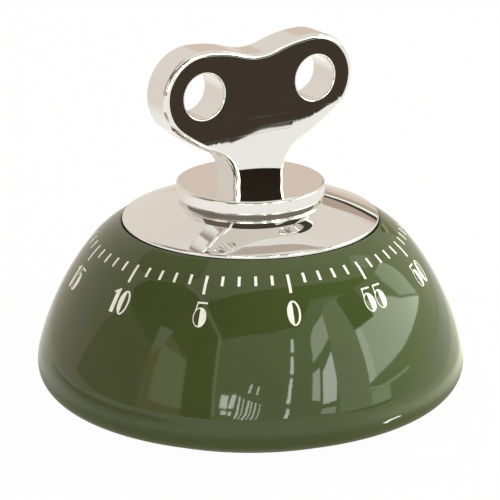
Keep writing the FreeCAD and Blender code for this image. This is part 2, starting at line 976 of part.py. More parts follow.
def spiral_strip():
    """The mainspring: a flat strip in half-turn arcs that grow outwards to the post."""
    half_pitch = number("spring_pitch") / 2
    strip = number("spring_strip")
    level = number("spring_base")
    halves = int(2 * number("spring_turns"))

    def half_turn(step, offset):
        radius = number("spring_inner") + half_pitch * step + offset
        centre = Vector(half_pitch * (step % 2), 0, level)
        start = pi * (step % 2)
        ends = [
            centre + Vector(radius * cos(start + turn), radius * sin(start + turn), 0)
            for turn in (0, pi / 2, pi)
        ]
        return Part.Arc(*ends).toShape()

    near = [half_turn(step, 0) for step in range(halves)]
    far = [half_turn(step, strip) for step in range(halves)]
    caps = [
        Part.makeLine(near[0].firstVertex().Point, far[0].firstVertex().Point),
        Part.makeLine(near[-1].lastVertex().Point, far[-1].lastVertex().Point),
    ]
    outline = Part.Wire(Part.__sortEdges__(near + far + caps))
    return Part.Face(outline).extrude(Vector(0, 0, number("spring_width")))


computed("mainspring", spiral_strip(), angle=180.0)
spring_end = size("spring_inner") + size("spring_pitch") * size("spring_turns")
turned(
    "spring_post",
    rod(
        size("spring_post_radius"),
        bottom_top,
        bottom_top + size("spring_width") + size("spring_post_rise"),
    ),
    x=-(spring_end + size("spring_strip") + size("spring_post_radius") + press_fit),
    y=0,
)


# ---------------------------------------------------------------- train


def tooth_prism(teeth, module, base_height, height):
    builder = FCWireBuilder()
    CreateExternalGear(
        builder,
        module,
        teeth,
        number("pressure_angle"),
        split=False,
        addCoeff=0.8,
        dedCoeff=1.05,
        filletCoeff=0.15,
    )
    face = Part.Face(Part.Wire([side.toShape() for side in builder.wire]))
    face.translate(Vector(0, 0, base_height))
    return face.extrude(Vector(0, 0, height))


def disc(radius, bottom, top):
    return Part.makeCylinder(radius, top - bottom, Vector(0, 0, bottom))


def wheel_windows(root_radius, hub_radius, base_height, height):
    """The openings between a wheel's four arms."""
    ring = disc(root_radius, base_height, base_height + height)
    ring = ring.cut(disc(hub_radius, base_height, base_height + height))
    arm_width = number("wheel_arm")
    for angle in (0, 90):
        arm = Part.makeBox(
            2 * root_radius, arm_width, height, Vector(-root_radius, -arm_width / 2, base_height)
        )
        arm.rotate(Vector(0, 0, 0), Vector(0, 0, 1), angle + 45)
        ring = ring.cut(arm)
    return ring


def toothed_wheel(module, base_height, bore):
    teeth = int(number("wheel_teeth"))
    height = number("wheel_thickness")
    wheel = tooth_prism(teeth, module, base_height, height)
    hub_radius = bore + number("wheel_hub")
    rim_inner = module * teeth / 2 - number("wheel_rim")
    wheel = wheel.cut(wheel_windows(rim_inner, hub_radius, base_height, height))
    return wheel.cut(disc(bore, base_height, base_height + height))


def cut_pinion(module, base_height):
    """A pinion cut on its arbor, with a pivot at each end."""
    plate = number("movement_plate")
    shake = number("end_shake")
    low = number("bottom_plate_base") + plate + shake
    high = number("top_plate_base") - shake
    pivot = number("pivot_radius")
    arbor = disc(number("arbor_radius"), low, high)
    arbor = arbor.fuse(disc(pivot, low - plate, low)).fuse(disc(pivot, high, high + plate))
    teeth = int(number("pinion_teeth"))
    leaves = tooth_prism(teeth, module, base_height, number("pinion_length"))
    return arbor.fuse(leaves).removeSplitter()


def leaf_turn(bearing):
    """Turn a pinion so that a gap faces back along the bearing that it was reached by."""
    return bearing + 180.0 + 180.0 / number("pinion_teeth")


great_module = number("great_module")
train_module = number("train_module")
arbor_bore = number("arbor_radius") + number("press_fit")
spindle_bore = number("spindle_radius") + number("press_fit")
third_bearing = number("third_bearing")
escape_bearing = number("escape_bearing")
computed("great_wheel", toothed_wheel(great_module, number("great_wheel_base"), spindle_bore))


def train_arbor(name, at, module, driver, reached_by, own_base, drives_towards):
    """A pinion turned by the wheel before it, and the wheel that it carries."""
    where = (at[0].value, at[1].value)
    leaves_base = number(driver) - number("pinion_overlap")
    wheel = toothed_wheel(train_module, number(own_base), arbor_bore)
    computed(f"{name}_pinion", cut_pinion(module, leaves_base), *where, leaf_turn(reached_by))
    computed(f"{name}_wheel", wheel, *where, drives_towards)


train_arbor(
    "second", second_at, great_module, "great_wheel_base", 0.0, "second_wheel_base", third_bearing
)
train_arbor(
    "third",
    third_at,
    train_module,
    "second_wheel_base",
    third_bearing,
    "third_wheel_base",
    escape_bearing,
)

spindle_hold = size("spindle_radius") + press_fit
clutch_base = seat + size("wheel_thickness")
clutch_root = size("spindle_radius") + size("clutch_ring") / 2
clutch = new_body("clutch_spring")
pad(
    clutch,
    lambda sketch: (
        draw_circle(sketch, 0, 0, size("spindle_radius") + size("clutch_ring")),
        draw_circle(sketch, 0, 0, spindle_hold),
    ),
    clutch_base,
    size("clutch_thickness"),
)
clutch_arm = pad(
    clutch,
    lambda sketch: draw_outline(
        sketch,
        slot_corners(
            (clutch_root, as_size(0)), (size("clutch_reach"), as_size(0)), size("clutch_arm")
        ),
    ),
    clutch_base,
    size("clutch_thickness"),
)
ring_pattern(clutch, [clutch_arm], 3)
place(clutch)

cam = new_body("trip_cam")
cam_base = size("cam_base")
pad(
    cam,
    lambda sketch: (
        draw_circle(sketch, 0, 0, size("cam_radius")),
        draw_circle(sketch, 0, 0, spindle_hold),
    ),
    cam_base,
    size("cam_thickness"),
)
pocket(
    cam,
    lambda sketch: draw_outline(
        sketch,
        box_corners(
            size("cam_radius") - size("cam_notch"),
            size("cam_radius") + size("cam_notch"),
            size("notch_half_width"),
        ),
    ),
    cam_base,
    size("cam_thickness"),
)
place(cam)

# ---------------------------------------------------------------- escapement


def escape_outline():
    """Slanted saw teeth, each with an upright locking face."""
    teeth = int(number("escape_teeth"))
    tip, root = number("escape_radius"), number("escape_root")
    points = []
    for tooth in range(teeth):
        for radius, share in ((tip, 0.0), (tip, 0.08), (root, 0.2), (root, 0.9)):
            angle = 2 * pi * (tooth + share) / teeth
            points.append((radius * cos(angle), radius * sin(angle)))
    return points


def prism(points, base_height, height):
    corners = [Vector(x, y, base_height) for x, y in points]
    return Part.Face(Part.makePolygon(corners + corners[:1])).extrude(Vector(0, 0, height))


escape_base = number("escape_wheel_base")
wheel_height = number("wheel_thickness")
escape_xy = (escape_at[0].value, escape_at[1].value)
anchor_xy = (anchor_at[0].value, anchor_at[1].value)
escape_body = prism(escape_outline(), escape_base, wheel_height)
escape_window = number("escape_root") - number("escape_rim")
escape_hub = arbor_bore + number("escape_hub")
escape_body = escape_body.cut(wheel_windows(escape_window, escape_hub, escape_base, wheel_height))
escape_body = escape_body.cut(disc(arbor_bore, escape_base, escape_base + wheel_height))
computed(
    "escape_pinion",
    cut_pinion(train_module, number("third_wheel_base") - number("pinion_overlap")),
    *escape_xy,
    leaf_turn(escape_bearing),
)
computed("escape_wheel", escape_body, *escape_xy)


def anchor_shape():
    """Two arms from the arbor to the pallets, which stand just clear of the tooth circle."""
    reach = number("anchor_distance")
    wheel = number("escape_radius")
    width = number("pallet_width")
    touch = wheel + number("pallet_clearance")
    spread = atan2(sqrt(reach**2 - wheel**2), wheel)
    half = number("anchor_arm_half")
    length = number("pallet_length")
    shape = disc(arbor_bore + number("anchor_hub"), escape_base, escape_base + wheel_height)
    for side in (1, -1):
        near = (-reach + touch * cos(spread), side * touch * sin(spread))
        away = (cos(spread), side * sin(spread))
        far = (near[0] + length * away[0], near[1] + length * away[1])
        across = (-away[1] * width / 2, away[0] * width / 2)
        pallet = [
            (near[0] - across[0], near[1] - across[1]),
            (near[0] + across[0], near[1] + across[1]),
            (far[0] + across[0], far[1] + across[1]),
            (far[0] - across[0], far[1] - across[1]),
        ]
        arm = [
            (0, half * side),
            (far[0], far[1] + half * side),
            (far[0], far[1] - half * side),
            (0, -half * side),
        ]
        for points in (pallet, arm):
            shape = shape.fuse(prism(points, escape_base, wheel_height))
    return shape.cut(disc(arbor_bore, escape_base, escape_base + wheel_height)).removeSplitter()


computed("pallet_anchor", anchor_shape(), *anchor_xy, number("anchor_bearing"))
low_end = bottom_top + size("end_shake")
high_end = top_base - size("end_shake")
pivot = size("pivot_radius")
arbor_radius = size("arbor_radius")
turned(
    "anchor_arbor",
    [
        (0, low_end - size("movement_plate")),
        (pivot, low_end - size("movement_plate")),
        (pivot, low_end),
        (arbor_radius, low_end),
        (arbor_radius, high_end),
        (pivot, high_end),
        (pivot, high_end + size("movement_plate")),
        (0, high_end + size("movement_plate")),
    ],
    x=anchor_at[0],
    y=anchor_at[1],
)
half_length = size("balance_half_length")
balance = new_body("balance_bar")
pad(
    balance,
    lambda sketch: (
        draw_outline(
            sketch,
            slot_corners((-half_length, as_size(0)), (half_length, as_size(0)), size("balance_width")),
        ),
        draw_circle(sketch, 0, 0, arbor_radius + press_fit),
    ),
    size("balance_base"),
    size("balance_thickness"),
)
for side in (1, -1):
    pad(
        balance,
        lambda sketch: draw_circle(sketch, half_length * side, 0, size("weight_radius")),
        size("balance_base") + size("weight_lift"),
        size("weight_height"),
    )
place(balance, *anchor_at)

# ---------------------------------------------------------------- hammer and bell

lever_base = size("lever_base")
lever_top = lever_base + size("lever_thickness")
hammer_arbor_foot = lever_base - size("arbor_overhang")
turned(
    "hammer_arbor",
    [
        (0, hammer_arbor_foot),
        (arbor_radius, hammer_arbor_foot),
        (arbor_radius, high_end),
        (pivot, high_end),
        (pivot, high_end + size("movement_plate")),
        (0, high_end + size("movement_plate")),
    ],
    x=hammer_at[0],
    y=hammer_at[1],
)
origin = (as_size(0), as_size(0))
head_offset = (size("head_x") - hammer_at[0], size("head_y") - hammer_at[1])
detent_offset = (size("detent_tip_x") - hammer_at[0], size("detent_tip_y") - hammer_at[1])


def lever(name, tip, base_height, tip_hole):
    """A flat arm with a raised hub on the hammer arbor and a riveting hole at its tip."""
    hub = arbor_radius + size("lever_hub")
    reach = square_root(tip[0] * tip[0] + tip[1] * tip[1])
    share = (arbor_radius + size("lever_width") / 2 + clearance) / reach
    root = (tip[0] * share, tip[1] * share)
    body = new_body(name)
    pad(
        body,
        lambda sketch: (
            draw_circle(sketch, 0, 0, hub),
            draw_circle(sketch, 0, 0, arbor_radius + press_fit),
        ),
        base_height,
        size("lever_thickness") + size("lever_hub_rise"),
    )
    pad(
        body,
        lambda sketch: (
            draw_outline(sketch, slot_corners(root, tip, size("lever_width"))),
            draw_circle(sketch, *tip, tip_hole),
        ),
        base_height,
        size("lever_thickness"),
    )
    place(body, *hammer_at)
    return body


lever("hammer_lever", head_offset, lever_base, size("head_rivet") + press_fit)
lever("detent_arm", detent_offset, cam_base, size("detent_hole"))
head_base = size("head_base")
head_shoulder = lever_base - press_fit
head_chamfer = size("head_chamfer")
rivet_top = lever_top + size("rivet_rise")
turned(
    "hammer_head",
    [
        (0, head_base),
        (size("head_radius") - head_chamfer, head_base),
        (size("head_radius"), head_base + head_chamfer),
        (size("head_radius"), head_shoulder),
        (size("head_rivet"), head_shoulder),
        (size("head_rivet"), rivet_top),
        (0, rivet_top),
    ],
    x=size("head_x"),
    y=size("head_y"),
)
leaf_root = (size("leaf_root_x"), size("leaf_root_y"))
leaf_tip = (size("leaf_tip_x"), size("leaf_tip_y"))
leaf = new_body("hammer_spring")
leaf_base = lever_base - size("leaf_drop")
pad(
    leaf,
    lambda sketch: draw_outline(sketch, slot_corners(leaf_root, leaf_tip, size("leaf_thickness"))),
    leaf_base,
    size("leaf_width"),
)
pad(
    leaf,
    lambda sketch: draw_circle(sketch, *leaf_root, size("leaf_stud")),
    leaf_base,
    bottom_base - leaf_base,
)
place(leaf)

bell_radius = size("bell_radius")
bell_wall = size("bell_wall")
bell_inner = size("bell_corner_arc") - bell_wall
bell_screw_hole = size("bell_screw_radius") + clearance
turned(
    "bell",
    [
        (bell_radius - bell_wall, size("bell_bottom")),
        (bell_radius, size("bell_bottom"), size("bell_corner_arc")),
        (size("bell_crown"), size("bell_top")),
        (bell_screw_hole, size("bell_top")),
        (bell_screw_hole, size("bell_top") - bell_wall),
        (size("bell_crown"), size("bell_top") - bell_wall, -bell_inner),
    ],
)
turned(
    "bell_post",
    rod(
        size("bell_post_radius"),
        size("plate_top"),
        size("bell_top") - bell_wall,
        size("bell_screw_radius") + press_fit,
    ),
)
turned(
    "bell_screw",
    screw_outline(
        size("bell_screw_head"),
        size("bell_top") + size("bell_screw_rise"),
        size("bell_screw_rise"),
        size("bell_screw_radius"),
        size("plate_top") + size("bell_screw_rise") / 2,
        False,
    ),
)

# ---------------------------------------------------------------- check and write

doc.recompute()
for thing in doc.Objects:
    bad = [state for state in thing.State if state in ("Invalid", "Error")]
    assert not bad, f"{thing.Name} failed: {thing.State}"
for piece in pieces:
    assert not piece.Shape.isNull(), f"{piece.Label} is empty"
    assert piece.Shape.isValid(), f"{piece.Label} is not valid"
    assert piece.Shape.Solids, f"{piece.Label} has no solid"

os.makedirs("parts", exist_ok=True)
for piece in pieces:
    piece.Shape.exportStep(f"parts/{piece.Label}.step")
    box = piece.Shape.BoundBox
    print(
        f"{piece.Label:22s} solids {len(piece.Shape.Solids)}  volume {piece.Shape.Volume:9.1f}  "
        f"x {box.XMin:7.2f} {box.XMax:7.2f}  y {box.YMin:7.2f} {box.YMax:7.2f}  "
        f"z {box.ZMin:6.2f} {box.ZMax:6.2f}"
    )
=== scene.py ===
from math import asin, atan2, ceil, cos, hypot, pi, radians, sin, sqrt

import bmesh
import bpy
from mathutils import Matrix, Vector, geometry


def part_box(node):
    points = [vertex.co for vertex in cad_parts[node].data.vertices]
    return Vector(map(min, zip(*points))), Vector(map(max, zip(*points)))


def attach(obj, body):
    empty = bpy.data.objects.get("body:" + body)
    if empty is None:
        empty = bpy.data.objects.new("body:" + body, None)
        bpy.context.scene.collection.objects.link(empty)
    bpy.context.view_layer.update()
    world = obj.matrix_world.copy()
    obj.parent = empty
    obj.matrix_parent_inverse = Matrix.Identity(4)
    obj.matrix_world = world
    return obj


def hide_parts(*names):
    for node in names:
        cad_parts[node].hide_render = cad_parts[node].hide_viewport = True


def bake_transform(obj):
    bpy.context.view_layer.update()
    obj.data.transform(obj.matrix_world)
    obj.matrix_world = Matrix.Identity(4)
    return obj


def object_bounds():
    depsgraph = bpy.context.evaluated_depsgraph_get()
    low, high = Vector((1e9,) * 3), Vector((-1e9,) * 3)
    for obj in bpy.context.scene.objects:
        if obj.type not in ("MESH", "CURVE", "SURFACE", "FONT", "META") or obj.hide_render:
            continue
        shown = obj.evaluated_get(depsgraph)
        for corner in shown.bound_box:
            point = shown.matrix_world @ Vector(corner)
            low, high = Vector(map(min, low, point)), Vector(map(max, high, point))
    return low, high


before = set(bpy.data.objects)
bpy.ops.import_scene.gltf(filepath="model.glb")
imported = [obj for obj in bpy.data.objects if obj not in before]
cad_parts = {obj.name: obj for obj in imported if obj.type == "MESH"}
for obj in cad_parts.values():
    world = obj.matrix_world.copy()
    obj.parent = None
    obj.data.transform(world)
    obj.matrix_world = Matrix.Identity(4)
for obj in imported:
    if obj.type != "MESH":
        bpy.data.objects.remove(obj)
cad_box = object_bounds()
MM = 0.001

# ---------------------------------------------------------------- table top
# The timer stands on a plain white laminate table top, wide enough to fill the view. In the gloss
# and plating it shows a glow of painted sun, painted shade and a painted shadow round the foot.
# Seen from underneath it is clear, so that the foot and base can be looked at.

table_height = cad_box[0].z - 0.05 * MM
table_half_width = 3.0


def new_material(name, **plain_values):
    """A material of one shader, with its uniform values on the shader's own sockets."""
    material = bpy.data.materials.new(name)
    material.use_nodes = True
    tree = material.node_tree
    for socket, value in plain_values.items():
        tree.nodes["Principled BSDF"].inputs[socket.replace("_", " ")].default_value = value
    return material


def add_node(tree, kind, place, feeds=None, **settings):
    """A shader node at a place on the sheet. Each of its feeds is a plain value or a link."""
    node = tree.nodes.new("ShaderNode" + kind)
    node.location = place
    for setting, value in settings.items():
        setattr(node, setting, value)
    for socket, value in (feeds or {}).items():
        if isinstance(value, bpy.types.NodeSocket):
            tree.links.new(value, node.inputs[socket])
        else:
            node.inputs[socket].default_value = value
    return node


def shell_of(name, faces, points, material):
    """An object made from faces and their points, with its material."""
    mesh = bpy.data.meshes.new(name)
    mesh.from_pydata(points, [], faces)
    mesh.validate()
    piece = bpy.data.objects.new(name, mesh)
    bpy.context.scene.collection.objects.link(piece)
    mesh.materials.append(material)
    return piece


def mix_colours(tree, share, first, second, place):
    """Blend two colours by a share that changes over the surface."""
    first, second = (
        (*colour, 1) if isinstance(colour, tuple) else colour for colour in (first, second)
    )
    mix = add_node(tree, "Mix", place, {0: share, 6: first, 7: second}, data_type="RGBA")
    return mix.outputs[2]


def fade(tree, value, begin, finish, first, second, place):
    """Go softly from the first colour to the second while a value goes from begin to finish."""
    share = add_node(tree, "MapRange", place, {
        "Value": value, "From Min": begin, "From Max": finish,
    }, interpolation_type="SMOOTHSTEP")
    return mix_colours(tree, share.outputs[0], first, second, (place[0] + 180, place[1]))


def mix_shaders(tree, share, first, second, place):
    """Go from the first shader to the second by a share."""
    return add_node(tree, "MixShader", place, {0: share, 1: first, 2: second}).outputs[0]


def reckon(tree, operation, place, *terms):
    """The result of one sum on values that change over the surface."""
    return add_node(tree, "Math", place, dict(enumerate(terms)), operation=operation).outputs[0]


laminate = new_material("white_laminate", Roughness=0.6, Base_Color=(0.86, 0.855, 0.84, 1))
tree = laminate.node_tree

# Painted light and shade that the gloss and plating see on the table, by place in metres: a painted
# shadow close round the foot, painted sun and then brightness to the right, painted shade to the
# left, duller at the back and even elsewhere.
even_top, painted_sun_top = (0.91, 0.90, 0.85), (1.7, 1.68, 1.4)
painted_shade_top, painted_contact_shadow = (0.42, 0.34, 0.27), (0.33, 0.31, 0.25)
painted_bright_top, painted_dull_back = (1.2, 1.18, 1.0), (0.78, 0.70, 0.62)
spot = add_node(tree, "TexCoord", (-1900, -350)).outputs["Object"]
across = add_node(tree, "SeparateXYZ", (-1700, -350), {0: spot}).outputs
away = add_node(tree, "VectorMath", (-1700, -550), {0: spot}, operation="LENGTH").outputs["Value"]
tone = fade(tree, away, 0.066, 0.080, painted_sun_top, painted_bright_top, (-1750, -1050))
tone = fade(tree, across["Y"], -0.11, -0.07, even_top, tone, (-1500, -350))
tone = fade(tree, across["X"], 0.0, 0.035, even_top, tone, (-1250, -350))
painted_left_shade = fade(tree, across["Y"], -0.055, -0.03, even_top, painted_shade_top, (-1500, -800))
tone = fade(tree, across["X"], -0.055, -0.09, tone, painted_left_shade, (-1000, -350))
tone = fade(tree, away, 0.115, 0.13, tone, even_top, (-1000, -800))
tone = fade(tree, across["Y"], 0.08, 0.16, tone, painted_dull_back, (-1000, -1050))
tone = fade(tree, away, 0.044, 0.062, painted_contact_shadow, tone, (-750, -350))
painted_table_light = add_node(tree, "Emission", (-500, -350), {"Color": tone, "Strength": 1.0})

white = (0.9925, 0.9925, 0.9925, 1)
glow = add_node(tree, "Emission", (-500, -150), {"Color": white, "Strength": 1.0})
clear = add_node(tree, "BsdfTransparent", (0, -150))
light_path = add_node(tree, "LightPath", (-500, 500)).outputs
facing = add_node(tree, "NewGeometry", (-500, 100)).outputs
glow_share = reckon(tree, "MULTIPLY", (-250, 450), light_path["Is Camera Ray"], 0.985)
top = tree.nodes["Principled BSDF"].outputs[0]
top = mix_shaders(tree, glow_share, top, glow.outputs[0], (0, 250))
# Reflections see only this glow of painted light and shade, not the lit laminate.
top = mix_shaders(tree, light_path["Is Glossy Ray"], top, painted_table_light.outputs[0], (120, 50))
top = mix_shaders(tree, facing["Backfacing"], top, clear.outputs[0], (250, 250))
tree.links.new(top, tree.nodes["Material Output"].inputs["Surface"])

corners = [(-1, -1), (1, -1), (1, 1), (-1, 1)]
table = shell_of(
    "table_top",
    [(0, 1, 2, 3)],
    [(x * table_half_width, y * table_half_width, table_height) for x, y in corners],
    laminate,
)
table.visible_diffuse = False
table.visible_shadow = False

# ---------------------------------------------------------------- room
# A pale room round the table: warm ceiling and walls, daylight panes to the right, and darker
# curtains and a beam in front. The camera sees a plain backdrop, so the room shows only in the
# gloss and plating, and adds a little soft light.

scene = bpy.context.scene
scene.view_settings.view_transform = "Standard"
world = bpy.data.worlds.new("room_light")
scene.world = world
world.use_nodes = True
tree = world.node_tree
direction = add_node(tree, "TexCoord", (-1300, 0)).outputs["Generated"]
parts = add_node(tree, "SeparateXYZ", (-1100, 0), {0: direction}).outputs

front_wall = (0.68, 0.74, 0.60)
back_wall = (0.69, 0.58, 0.49)
left_wall = (0.74, 0.55, 0.38)
right_wall = (0.86, 0.84, 0.66)
upper_wall = (0.77, 0.71, 0.64)
ceiling = (0.80, 0.79, 0.72)
below = (0.84, 0.83, 0.80)
rising = fade(tree, parts["Z"], 0.34, 0.42, back_wall, upper_wall, (-1100, -250))
rising = fade(tree, parts["X"], 0.47, 0.40, rising, upper_wall, (-850, -250))
walls = fade(tree, parts["Y"], -0.25, 0.35, front_wall, rising, (-850, 0))
walls = fade(tree, parts["X"], -0.5, -0.95, walls, left_wall, (-600, 0))
walls = fade(tree, parts["X"], 0.75, 0.95, walls, right_wall, (-350, 0))
walls = fade(tree, parts["Z"], 0.72, 0.9, walls, ceiling, (-100, 0))
walls = fade(tree, parts["Z"], 0.0, -0.08, walls, below, (150, 0))
room = tree.nodes["Background"]
room.location = (450, 0)
tree.links.new(walls, room.inputs["Color"])
backdrop = add_node(tree, "Background", (450, -150), {"Color": (0.991, 0.991, 0.991, 1)})
seen = add_node(tree, "LightPath", (450, 400)).outputs["Is Camera Ray"]
shown = mix_shaders(tree, seen, room.outputs[0], backdrop.outputs[0], (700, 0))
tree.links.new(shown, tree.nodes["World Output"].inputs["Surface"])

room_centre = Vector((0, 0, 25 * MM))


def in_room(azimuth, elevation, distance):
    """A point of the room: azimuth 0 is straight in front, and 90 to the right."""
    a, e = radians(azimuth), radians(elevation)
    return room_centre + distance * Vector((sin(a) * cos(e), -cos(a) * cos(e), sin(e)))


def glowing(name, colour, strength):
    """A material that only gives light."""
    material = bpy.data.materials.new(name)
    material.use_nodes = True
    tree = material.node_tree
    tree.nodes.remove(tree.nodes["Principled BSDF"])
    shine = add_node(tree, "Emission", (0, 0), {"Color": (*colour, 1), "Strength": strength})
    tree.links.new(shine.outputs[0], tree.nodes["Material Output"].inputs["Surface"])
    return material


def sheet(name, points, colour, strength):
    """A flat glowing or dark sheet, hidden from the camera and casting no shadow."""
    piece = shell_of(name, [tuple(range(len(points)))], points, glowing(name, colour, strength))
    piece.visible_camera = False
    piece.visible_shadow = False
    return piece


def panel(name, corners, colour, strength, distance=8.0):
    """A sheet of the room, with corners as azimuth and elevation in degrees."""
    points = [in_room(azimuth, elevation, distance) for azimuth, elevation in corners]
    sheet(name, points, colour, strength)


daylight = (0.94, 1.0, 0.84)
grey_light = (0.97, 1.0, 0.93)
dark = (1.0, 0.85, 0.65)
warm_grey = (1.0, 0.95, 0.80)

# Window panes with their sills, and a pale curtain between them, to the right and in front.
panel("window_right", [
    (34.3, 9.8), (42, 11), (61.4, 11.2), (80.6, 10.6), (94.5, 8.7), (79.3, 18.2), (71.8, 24.1),
    (62.4, 29.7), (51, 33.2), (37.6, 33.1),
], daylight, 4.3)
panel("window_far_right", [
    (79.8, 18.8), (94.3, 9.5), (93, 15.2), (92.3, 19.2), (92.5, 25.7), (91.7, 31.7),
    (78.8, 33.3), (75.6, 27.5),
], daylight, 2.6)
panel("window_gleam", [(37.6, 33.1), (34.3, 9.8), (39, 10.5), (43, 33.5)], daylight, 5.6, 7.9)
panel("skylight", [
    (97, 47.8), (98.1, 43.7), (96.8, 38.1), (86.9, 35.5), (81.1, 39.1), (81.1, 47.2),
], grey_light, 1.5)
panel("pane_corner", [(39.3, 41.6), (38.2, 35.5), (50, 38.2)], grey_light, 3.2, 7.8)
panel("window_sill_right", [(33.8, 7.1), (46.3, 5.5), (44.4, -2), (32.8, -2)], daylight, 2.4)
panel("sill_line_right", [
    (33.3, 8.6), (42.9, 6.9), (54.4, 6.3), (62.1, 5.6), (62.1, 4.9), (54.4, 5.5), (42.9, 6), (33.3, 7.8),
], daylight, 2.8, 7.9)
panel("pane_high", [
    (21, 41.3), (18.8, 32.5), (11.7, 29.1), (4.2, 25.6), (6.3, 34.7), (11, 38.6),
], daylight, 4.0)
panel("pane_low_left", [(2.8, 21.8), (7.4, 23.3), (4.1, 10.8), (-0.2, 11.9)], grey_light, 5.0)
panel("pane_low_right", [(17, 27.5), (15.3, 15.6), (12.9, 9.2), (5.4, 9.1), (8.4, 21.2)], grey_light, 7.0)
panel("pane_sill", [(4.5, 7.2), (12.3, 6.9), (11.3, 0.6), (3.2, 2.6)], grey_light, 3.0)
panel("curtain_right", [
    (13.5, -1), (33, -1), (34, 10), (37.6, 33), (39, 42), (30, 44), (22, 43), (19, 32), (16, 18),
], (0.95, 1.0, 0.82), 1.35, 8.4)

# Bright edges of a window straight ahead, narrowing upwards.
low_half, high_half = 1.0, 0.8
for index, ((low_turn, low), (high_turn, high)) in enumerate([
    ((-15.2, 1.5), (-13.4, 10.0)),
    ((-13.1, 12.0), (-9.9, 21.8)),
    ((-9.3, 23.4), (-7.5, 30.4)),
    ((-6.7, 32), (-5.2, 37)),
]):
    panel(f"window_edge_{index + 1}", [
        (low_turn - low_half, low), (low_turn + low_half, low),
        (high_turn + high_half, high), (high_turn - high_half, high),
    ], grey_light, 9.0)

# A dark beam across the front, and curtain, wall, door and picture to the left.
for index, stretch in enumerate([
    [(-71.3, 49.9), (-56.8, 55.9), (-33.4, 64.1), (-33.2, 40.9), (-51.8, 37.7)],
    [(-33.4, 64.1), (5, 65), (1.9, 41), (-19.2, 41.3), (-33.2, 40.9)],
    [(5, 65), (30, 60), (17.8, 48.3), (1.9, 41)],
    [(30, 60), (44.4, 54), (40.3, 42.5), (17.8, 48.3)],
    [(44.4, 54), (60.4, 45), (75.1, 36), (62, 37), (50, 39), (40.3, 42.5)],
]):
    panel(f"beam_{index + 1}", stretch, dark, 0.06)
panel("curtain_front_left", [
    (-69, -1), (-53, -1), (-53, 39), (-70, 49.9), (-84, 36), (-71, 27),
], dark, 0.12, 7.6)
panel("wall_left_high", [
    (-72, 27), (-70, 49.9), (-103, 57), (-127, 44), (-128, 33), (-122, 30), (-94, 26), (-84, 33),
], dark, 0.14, 7.2)
panel("door_left", [
    (-88.1, 7.3), (-69.2, 7.3), (-70.7, 26.2), (-88.4, 28.6),
], (1.0, 0.97, 0.72), 1.25, 6.8)
panel("picture_left", [
    (-95.1, 33.9), (-84.8, 34.7), (-87.2, 29.5), (-93.9, 22.5),
], (1.0, 0.97, 0.80), 1.1, 6.8)
panel("curtain_edge", [(-53.2, 4), (-51.6, 4), (-52.2, 39), (-54.2, 39)], warm_grey, 1.5, 6.8)
panel("curtain_rail", [
    (-52.2, 39), (-69, 49.3), (-103, 57.8), (-103, 56.4), (-70, 47.6), (-54.2, 38.6),
], warm_grey, 1.1, 6.8)
panel("wall_left", [
    (-94.5, -1), (-139, -1), (-132, 18.5), (-122, 31), (-94.5, 26),
], (0.42, 0.33, 0.34), 1.0, 7.4)

# Bright slats low in front, each from its top to its foot and so many degrees wide.
for index, (top, foot, width) in enumerate([
    ((-46.5, 15.9), (-47.2, 10.6), 4.0),
    ((-41.4, 16.4), (-43.3, 10.7), 2.6),
    ((-38.4, 15.7), (-41.3, 2.2), 1.1),
    ((-36.2, 14.8), (-39.5, 1.6), 0.6),
    ((-33.7, 14.1), (-37.7, 0.7), 1.1),
    ((-32.0, 13.6), (-35.4, 1.0), 0.6),
    ((-30.0, 13.3), (-33.1, 1.3), 0.9),
    ((-27.8, 12.6), (-30.6, 1.6), 0.5),
    ((-46.8, 9.6), (-47.0, 6.8), 2.8),
    ((-43.4, 9.4), (-44.0, 6.0), 1.6),
    ((-32.0, 20.6), (-33.7, 17.3), 1.2),
    ((-28.2, 19.7), (-29.4, 16.5), 1.0),
]):
    half = width / 2
    panel(f"slat_{index + 1}", [
        (foot[0] - half, foot[1]), (foot[0] + half, foot[1]),
        (top[0] + half, top[1]), (top[0] - half, top[1]),
    ], grey_light, 8.5, 6.8)

# Shelf, cupboard and ceiling corner behind the timer.
panel("shelf_behind", [
    (184, 60), (165, 63), (150, 63), (138, 61.5), (125, 56), (116, 52),
    (114, 54), (121, 59), (133, 66), (150, 69), (168, 67.5), (184, 63),
], (0.50, 0.42, 0.35), 1.0)
panel("cupboard_behind", [
    (141, 6), (141, 23), (133, 23.5), (127, 19.5), (121, 16), (121, 8),
], (0.46, 0.37, 0.29), 1.0)
panel("cupboard_gap", [
    (141, 13.4), (135, 12.8), (127, 14.4), (121, 17), (121, 19.6), (127, 17), (135, 15.2), (141, 15),
], dark, 0.05, 7.8)
panel("cupboard_edge", [
    (141, 11.2), (135, 10.6), (127, 12.2), (121, 14.8), (121, 16.6), (127, 14), (135, 12.4), (141, 13),
], grey_light, 1.0, 7.8)
panel("ceiling_left", [
    (-104, 57.5), (-127, 45), (-150, 40), (-172, 45), (-172, 70), (-130, 72), (-104, 66),
], (0.42, 0.36, 0.30), 1.0)

# ---------------------------------------------------------------- cards
# Studio cards near the timer: a dark runner on the table in front, a dark card held up to the
# front right, a pale card above and a small bright strip by the foot. They show only in the
# gloss and plating.


def card(name, corners, colour, strength):
    """A sheet near the timer, with corners in millimetres, which adds no soft light."""
    piece = sheet(name, [Vector(corner) * MM for corner in corners], colour, strength)
    piece.visible_diffuse = False


